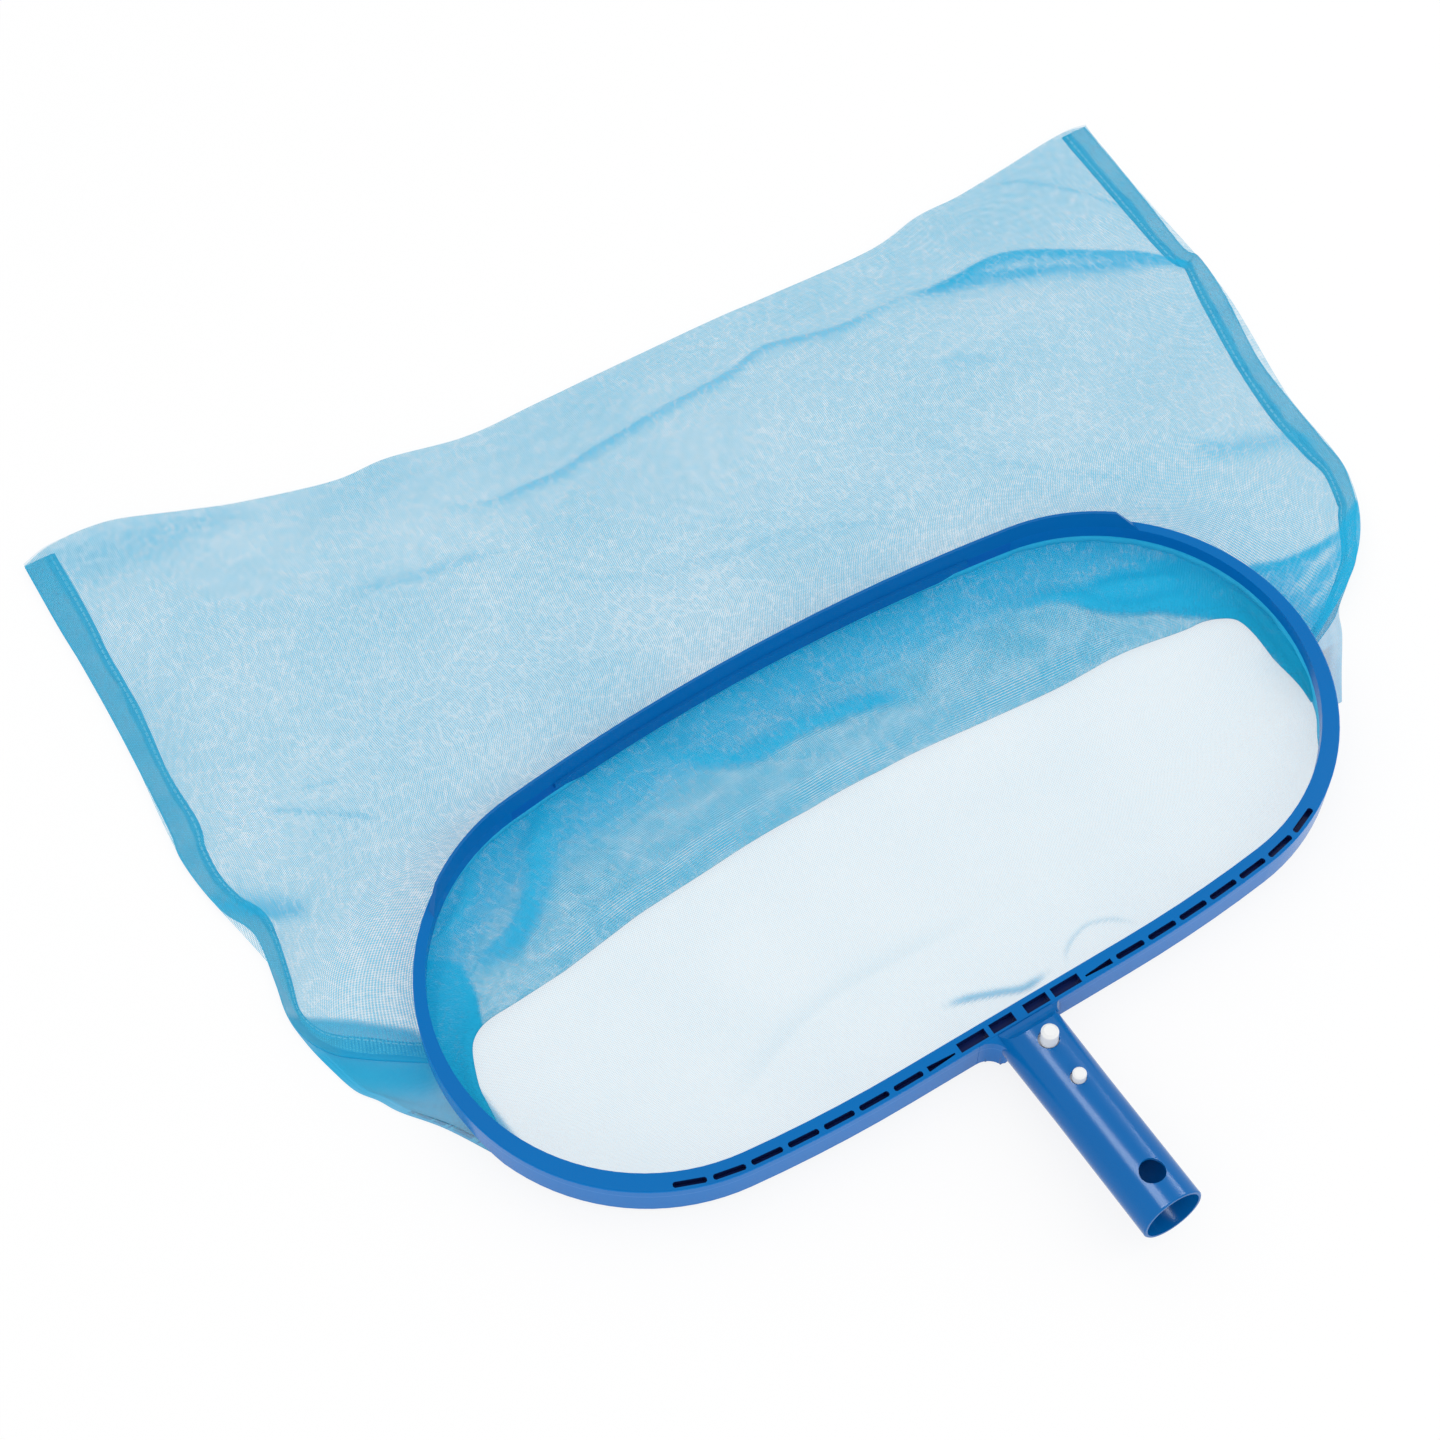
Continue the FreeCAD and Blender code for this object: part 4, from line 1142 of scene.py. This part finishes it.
MOUTH_FOLDS = (
    Fold(((-18, -25), (-14, -26), (-7, -28), (4, -32), (15, -36), (27, -35)),
         1.2, 2.4, 0.3, 4.4, 0.8, 0.5),
    Fold(((37, -36), (39, -32), (45, -28), (54, -26), (64, -29), (72, -36)),
         0.6, 1.8, 0.0, 1.3, 0.8),
    Fold(((-190, -38), (-179, -44), (-165, -45), (-157, -46)), 0.8, 1.8, 0.0, 1.4, 0.8),
    Fold(((-194, -37), (-199, -31), (-203, -24)), 0.8, 2.4, 0.0, 1.4, 0.8),
    Fold(((-120, -16), (-60, 4), (20, 2)), 1.0, 12.0, 0.0, 0.25),
    Fold(((206, -20), (214, 10), (210, 50)), 0.0, 16.0, 0.0, 1.1, 1.0, 1.0, True),
    Fold(((-250, 90), (-236, 76), (-224, 68), (-208, 60)), 0.0, 8.0, 0.0, 9.0, 1.0, 1.0, True),
)
LOWER_DOUBLED = (
    Doubled(((-258, 120), (-258, 84), (-248, 66), (-234, 46), (-222, 30), (-204, 8), (-200, 20),
             (-204, 60), (-212, 84), (-230, 100)), 6.6, 3.0, 2.0),
    Doubled(((206, 60), (222, 58), (240, 47), (250, 46), (238, 20), (224, 6), (212, -6),
             (204, 0)), 1.5, 4.0),
)


@dataclass
class SideSeam:
    """One sewn edge of the bag: folded layers that follow the edge, with rows of stitches."""

    name: str
    edge: Sequence[Point]
    widths: Sequence[float]
    inward: int
    turned_from: float = 2.0
    thickness: float = 2.0
    section_width: float = 10.9
    section_height: float = 2.1
    count: int = 260

    def build(self, material: Finish) -> Piece:
        """Builds the seam as a flattened closed band.

        Args:
            material: its finish.

        Returns:
            The band.
        """
        places = bag_points(self.edge)
        points = [(*place, width * MM) for place, width in zip(places, self.widths)]
        path = curve_through(points, self.count)
        line, wide = path[:, :2], path[:, 2]
        heading = headings(line)
        inward = np.column_stack([-heading[:, 1], heading[:, 0]]) * self.inward
        scale = self.thickness / self.section_height * MM
        sway = ripples(line, 40.0, 0.9, 2.2)
        section = [(0.0, 0.6), (0.25, 1.5), (0.9, 1.9), (5.5, 2.1), (10.0, 1.8), (10.8, 1.3),
                   (10.9, 0.7), (10.2, 0.2), (5.5, 0.0), (0.8, 0.1), (0.0, 0.6)]
        rows = []
        for across, up in section:
            place = line + inward * (wide * across / self.section_width)[:, None]
            height = above_floor(0.3) + up * scale + np.abs(sway) * 0.5
            rows.append(np.column_stack([place, height]))
        turned = ramp(np.linspace(0, 1, self.count), self.turned_from, 0.03)
        gather = np.tile(turned + 1.0, (len(section), 1))
        marks = [across * MM for across, _ in section]
        piece = closed_band(self.name, rows, float(steps_along(line).sum()), marks, gather)
        node = self.name.replace("seam", "side_seam")
        return dress(piece, material, stands_for=[node])


@dataclass
class MouthHem:
    """The bag's folded edge in the groove, with a cord in it."""

    top: float = 13.5
    far_bottom: float = 6.3
    near_bottom: float = 1.4
    near_limit: float = 52.0
    thickness: float = 1.4
    waves: int = 60
    wave_depth: float = 0.25
    cord_radius: float = 0.88
    count: int = 480

    def build(self, material: Finish) -> Piece:
        """Builds the hem as a closed band round the hoop.

        Args:
            material: its finish.

        Returns:
            The band.
        """
        line, outward, length = GROOVE.ring(self.count)
        near = ramp(HOOP_Y + self.near_limit * MM - line[:, 1], 0.0, 0.02)
        bottom = self.far_bottom * (1 - near) + self.near_bottom * near
        turn = np.arange(self.count + 1) / self.count * 2 * math.pi
        wave = np.sin(turn * self.waves) * self.wave_depth * MM
        wave[-1] = wave[0]
        rows, marks = [], []
        for side, level in ((-0.5, 0.0), (-0.5, 0.5), (-0.5, 1.0), (0.5, 1.0), (0.5, 0.5),
                            (0.5, 0.0), (-0.5, 0.0)):
            away = side * self.thickness * MM + wave * (1 - level)
            height = FLOOR_Z + (bottom * (1 - level) + self.top * level) * MM
            rows.append(np.column_stack([line + outward * away[:, None], height]))
            marks.append(level * self.top * MM)
        piece = closed_band("mouth_hem_band", rows, length, marks)
        return dress(piece, material, stands_for=["mouth_hem"])

    def cord(self, material: Finish) -> Piece:
        """Builds the cord above the hem, as a round tube.

        Args:
            material: its finish.

        Returns:
            The cord.
        """
        line, outward, length = GROOVE.ring(self.count)
        radius = self.cord_radius * MM
        centre = above_floor(self.top + 0.9)
        turns = np.linspace(0, 2 * math.pi, 13)
        rows = [np.column_stack([line + outward * math.cos(turn) * radius,
                                 np.full(len(line), centre + math.sin(turn) * radius)])
                for turn in turns]
        piece = closed_band("hem_cord_round", rows, length, turns * radius)
        return dress(piece, material, stands_for=["hem_cord"])


@dataclass
class Moulding:
    """The blue moulding and the white clip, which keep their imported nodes."""

    hoop_nodes: tuple[str, ...] = ("frame_hoop",)
    blue_nodes: tuple[str, ...] = ("pole_shank", "scoop_lip", "hem_strip")
    white_nodes: tuple[str, ...] = ("clip_leg", "latch_lever")

    def build(self, hoop: Finish, blue: Finish,
              white: Finish) -> None:
        """Gives each node its finish.

        Args:
            hoop: the hoop's material.
            blue: the material of the moulding's other parts.
            white: the clip's material.
        """
        for names, material in ((self.hoop_nodes, hoop), (self.blue_nodes, blue),
                                (self.white_nodes, white)):
            for name in names:
                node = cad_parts[name]
                node.data.materials.clear()
                node.data.materials.append(material)


@dataclass
class ShankWeb:
    """The hollow flare on the tube's left, which carries the hoop's wall round into the tube."""

    name: str = "shank_web"
    radius: float = 9.0
    lip: float = 0.12
    tube_side: float = 13.2
    bury: float = 0.6
    flat_depth: float = 5.0

    def build(self, material: Finish) -> Piece:
        """Builds the flare: a block beside the wall, hollowed by an upright cylinder.

        Args:
            material: the hoop's finish.

        Returns:
            The flare.
        """
        wall, low, top = HOOP_LOW.y, HOOP_LOW.z + 0.2 * MM, RIM_TOP_Z - 0.15 * MM
        span = (self.radius + self.lip) * MM
        left = -self.tube_side * MM - span
        side_view = ((wall + self.bury * MM, low), (wall - self.flat_depth * MM, low),
                     (wall - 0.79 * span, low + 4.0 * MM), (wall - span, low + 11.0 * MM),
                     (wall - span, top), (wall + self.bury * MM, top))
        start_piece(self.name)
        bpy.ops.mesh.primitive_circle_add(vertices=len(side_view), radius=span,
                                          fill_type="NGON", location=(0.0, 0.0, 0.0))
        block = settle(bpy.context.object, self.name)
        for vertex, (y, z) in zip(block.data.vertices, side_view):
            vertex.co = (left, y, z)
        bpy.ops.object.mode_set(mode="EDIT")
        bpy.ops.mesh.select_all(action="SELECT")
        bpy.ops.mesh.extrude_region_move(TRANSFORM_OT_translate={"value": (span, 0.0, 0.0)})
        bpy.ops.mesh.select_all(action="SELECT")
        bpy.ops.mesh.normals_make_consistent(inside=False)
        bpy.ops.object.mode_set(mode="OBJECT")
        start_piece("shank_web_hollow")
        bpy.ops.mesh.primitive_cylinder_add(vertices=72, radius=self.radius * MM, depth=0.08,
                                            location=(left, wall - span, low))
        hollow = bpy.context.object
        start_piece(self.name)
        block.select_set(True)
        bpy.context.view_layer.objects.active = block
        cut = block.modifiers.new("hollow", "BOOLEAN")
        cut.operation, cut.object = "DIFFERENCE", hollow
        bpy.ops.object.modifier_apply(modifier=cut.name)
        bpy.data.objects.remove(hollow, do_unlink=True)
        in_order(block)
        bpy.ops.object.shade_smooth_by_angle(angle=math.radians(30.0))
        return dress(block, material)


@dataclass
class Studio:
    """White paper, soft light and the photograph's camera."""

    camera_place: tuple[float, float, float] = (-0.3776, -0.2648, 1.1229)
    heading: float = 32.1524
    elevation: float = 59.9028
    lens: float = 75.1
    world_light: float = 1.0
    key_power: float = 2.0
    gloss_reach: float = 1.5
    gloss_glow: float = 15.0

    def _camera(self) -> None:
        """Adds the camera and makes it the scene's."""
        data = bpy.data.cameras.new("camera")
        data.lens = self.lens
        data.sensor_width = 36.0
        data.clip_start, data.clip_end = 0.05, 20.0
        camera = bpy.data.objects.new("camera", data)
        camera.location = self.camera_place
        camera.rotation_euler = (math.radians(90.0 - self.elevation), 0.0,
                                 -math.radians(self.heading))
        bpy.context.scene.collection.objects.link(camera)
        bpy.context.scene.camera = camera

    def _lamp(self, name: str, place: Vector, aim: Vector, power: float,
              size: tuple[float, float], gloss_only: bool = False) -> None:
        """Adds a flat lamp.

        Args:
            name: its name.
            place: where it stands.
            aim: the point that it faces.
            power: its power in watts.
            size: its two sides in metres.
            gloss_only: whether it only shows as a reflection.
        """
        data = bpy.data.lights.new(name, "AREA")
        data.energy = power
        data.shape = "RECTANGLE"
        data.size, data.size_y = size
        lamp = bpy.data.objects.new(name, data)
        lamp.location = place
        lamp.rotation_mode = "QUATERNION"
        lamp.rotation_quaternion = (place - aim).to_track_quat("Z", "Y")
        lamp.visible_diffuse = not gloss_only
        bpy.context.scene.collection.objects.link(lamp)

    def build(self, paper: Finish) -> None:
        """Sets up the floor, the light, the camera and the view transform.

        Args:
            paper: the floor's material.
        """
        start_piece("studio_floor")
        bpy.ops.mesh.primitive_plane_add(size=12.0, location=(0.0, 0.3, FLOOR_Z - 0.0001))
        floor = settle(bpy.context.object, "studio_floor")
        floor.data.materials.append(paper)
        world = bpy.data.worlds.new("studio")
        world.use_nodes = True
        sky = world.node_tree.nodes["Background"]
        sky.inputs["Color"].default_value = (1.0, 1.0, 1.0, 1.0)
        sky.inputs["Strength"].default_value = self.world_light
        bpy.context.scene.world = world
        aim = Vector((0.0, 0.25, 0.0))
        self._lamp("key", aim + Vector((1.0, -0.7, 1.1)), aim, self.key_power, (1.0, 1.0))
        tube = Vector((0.0, 0.05, 0.0))
        for name, heading, width in (("wide_box", Vector((-0.287, 0.257, 0.93)), 0.56),
                                     ("thin_box", Vector((0.678, 0.257, 0.686)), 0.16)):
            place = tube + heading * self.gloss_reach
            power = self.gloss_glow * math.pi * width * 0.9
            self._lamp(name, place, tube, power, (width, 0.9), True)
        self._camera()
        bpy.context.scene.view_settings.view_transform = "Standard"


def main() -> None:
    """Builds every sub-assembly in order and reports each."""
    logging.basicConfig(level=logging.INFO, format="%(message)s")
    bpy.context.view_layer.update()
    Studio().build(PAPER.material())
    Moulding().build(HOOP_BLUE.material(), BLUE.material(), NYLON.material())
    ShankWeb().build(HOOP_BLUE.material())
    bag = NetBag()
    lower = bag.lower(LOWER_NET.material())
    upper = bag.upper(UPPER_NET.material())
    seams = [SideSeam("seam_left", LEFT_SEAM, LEFT_WIDTHS, 1, 0.86).build(LEFT_TAPE.material()),
             SideSeam("seam_right", RIGHT_SEAM, RIGHT_WIDTHS, -1).build(RIGHT_TAPE.material())]
    mouth = MouthHem()
    hem = mouth.build(HEM.material())
    mouth.cord(CORD.material())


if __name__ == "__main__":
    main()
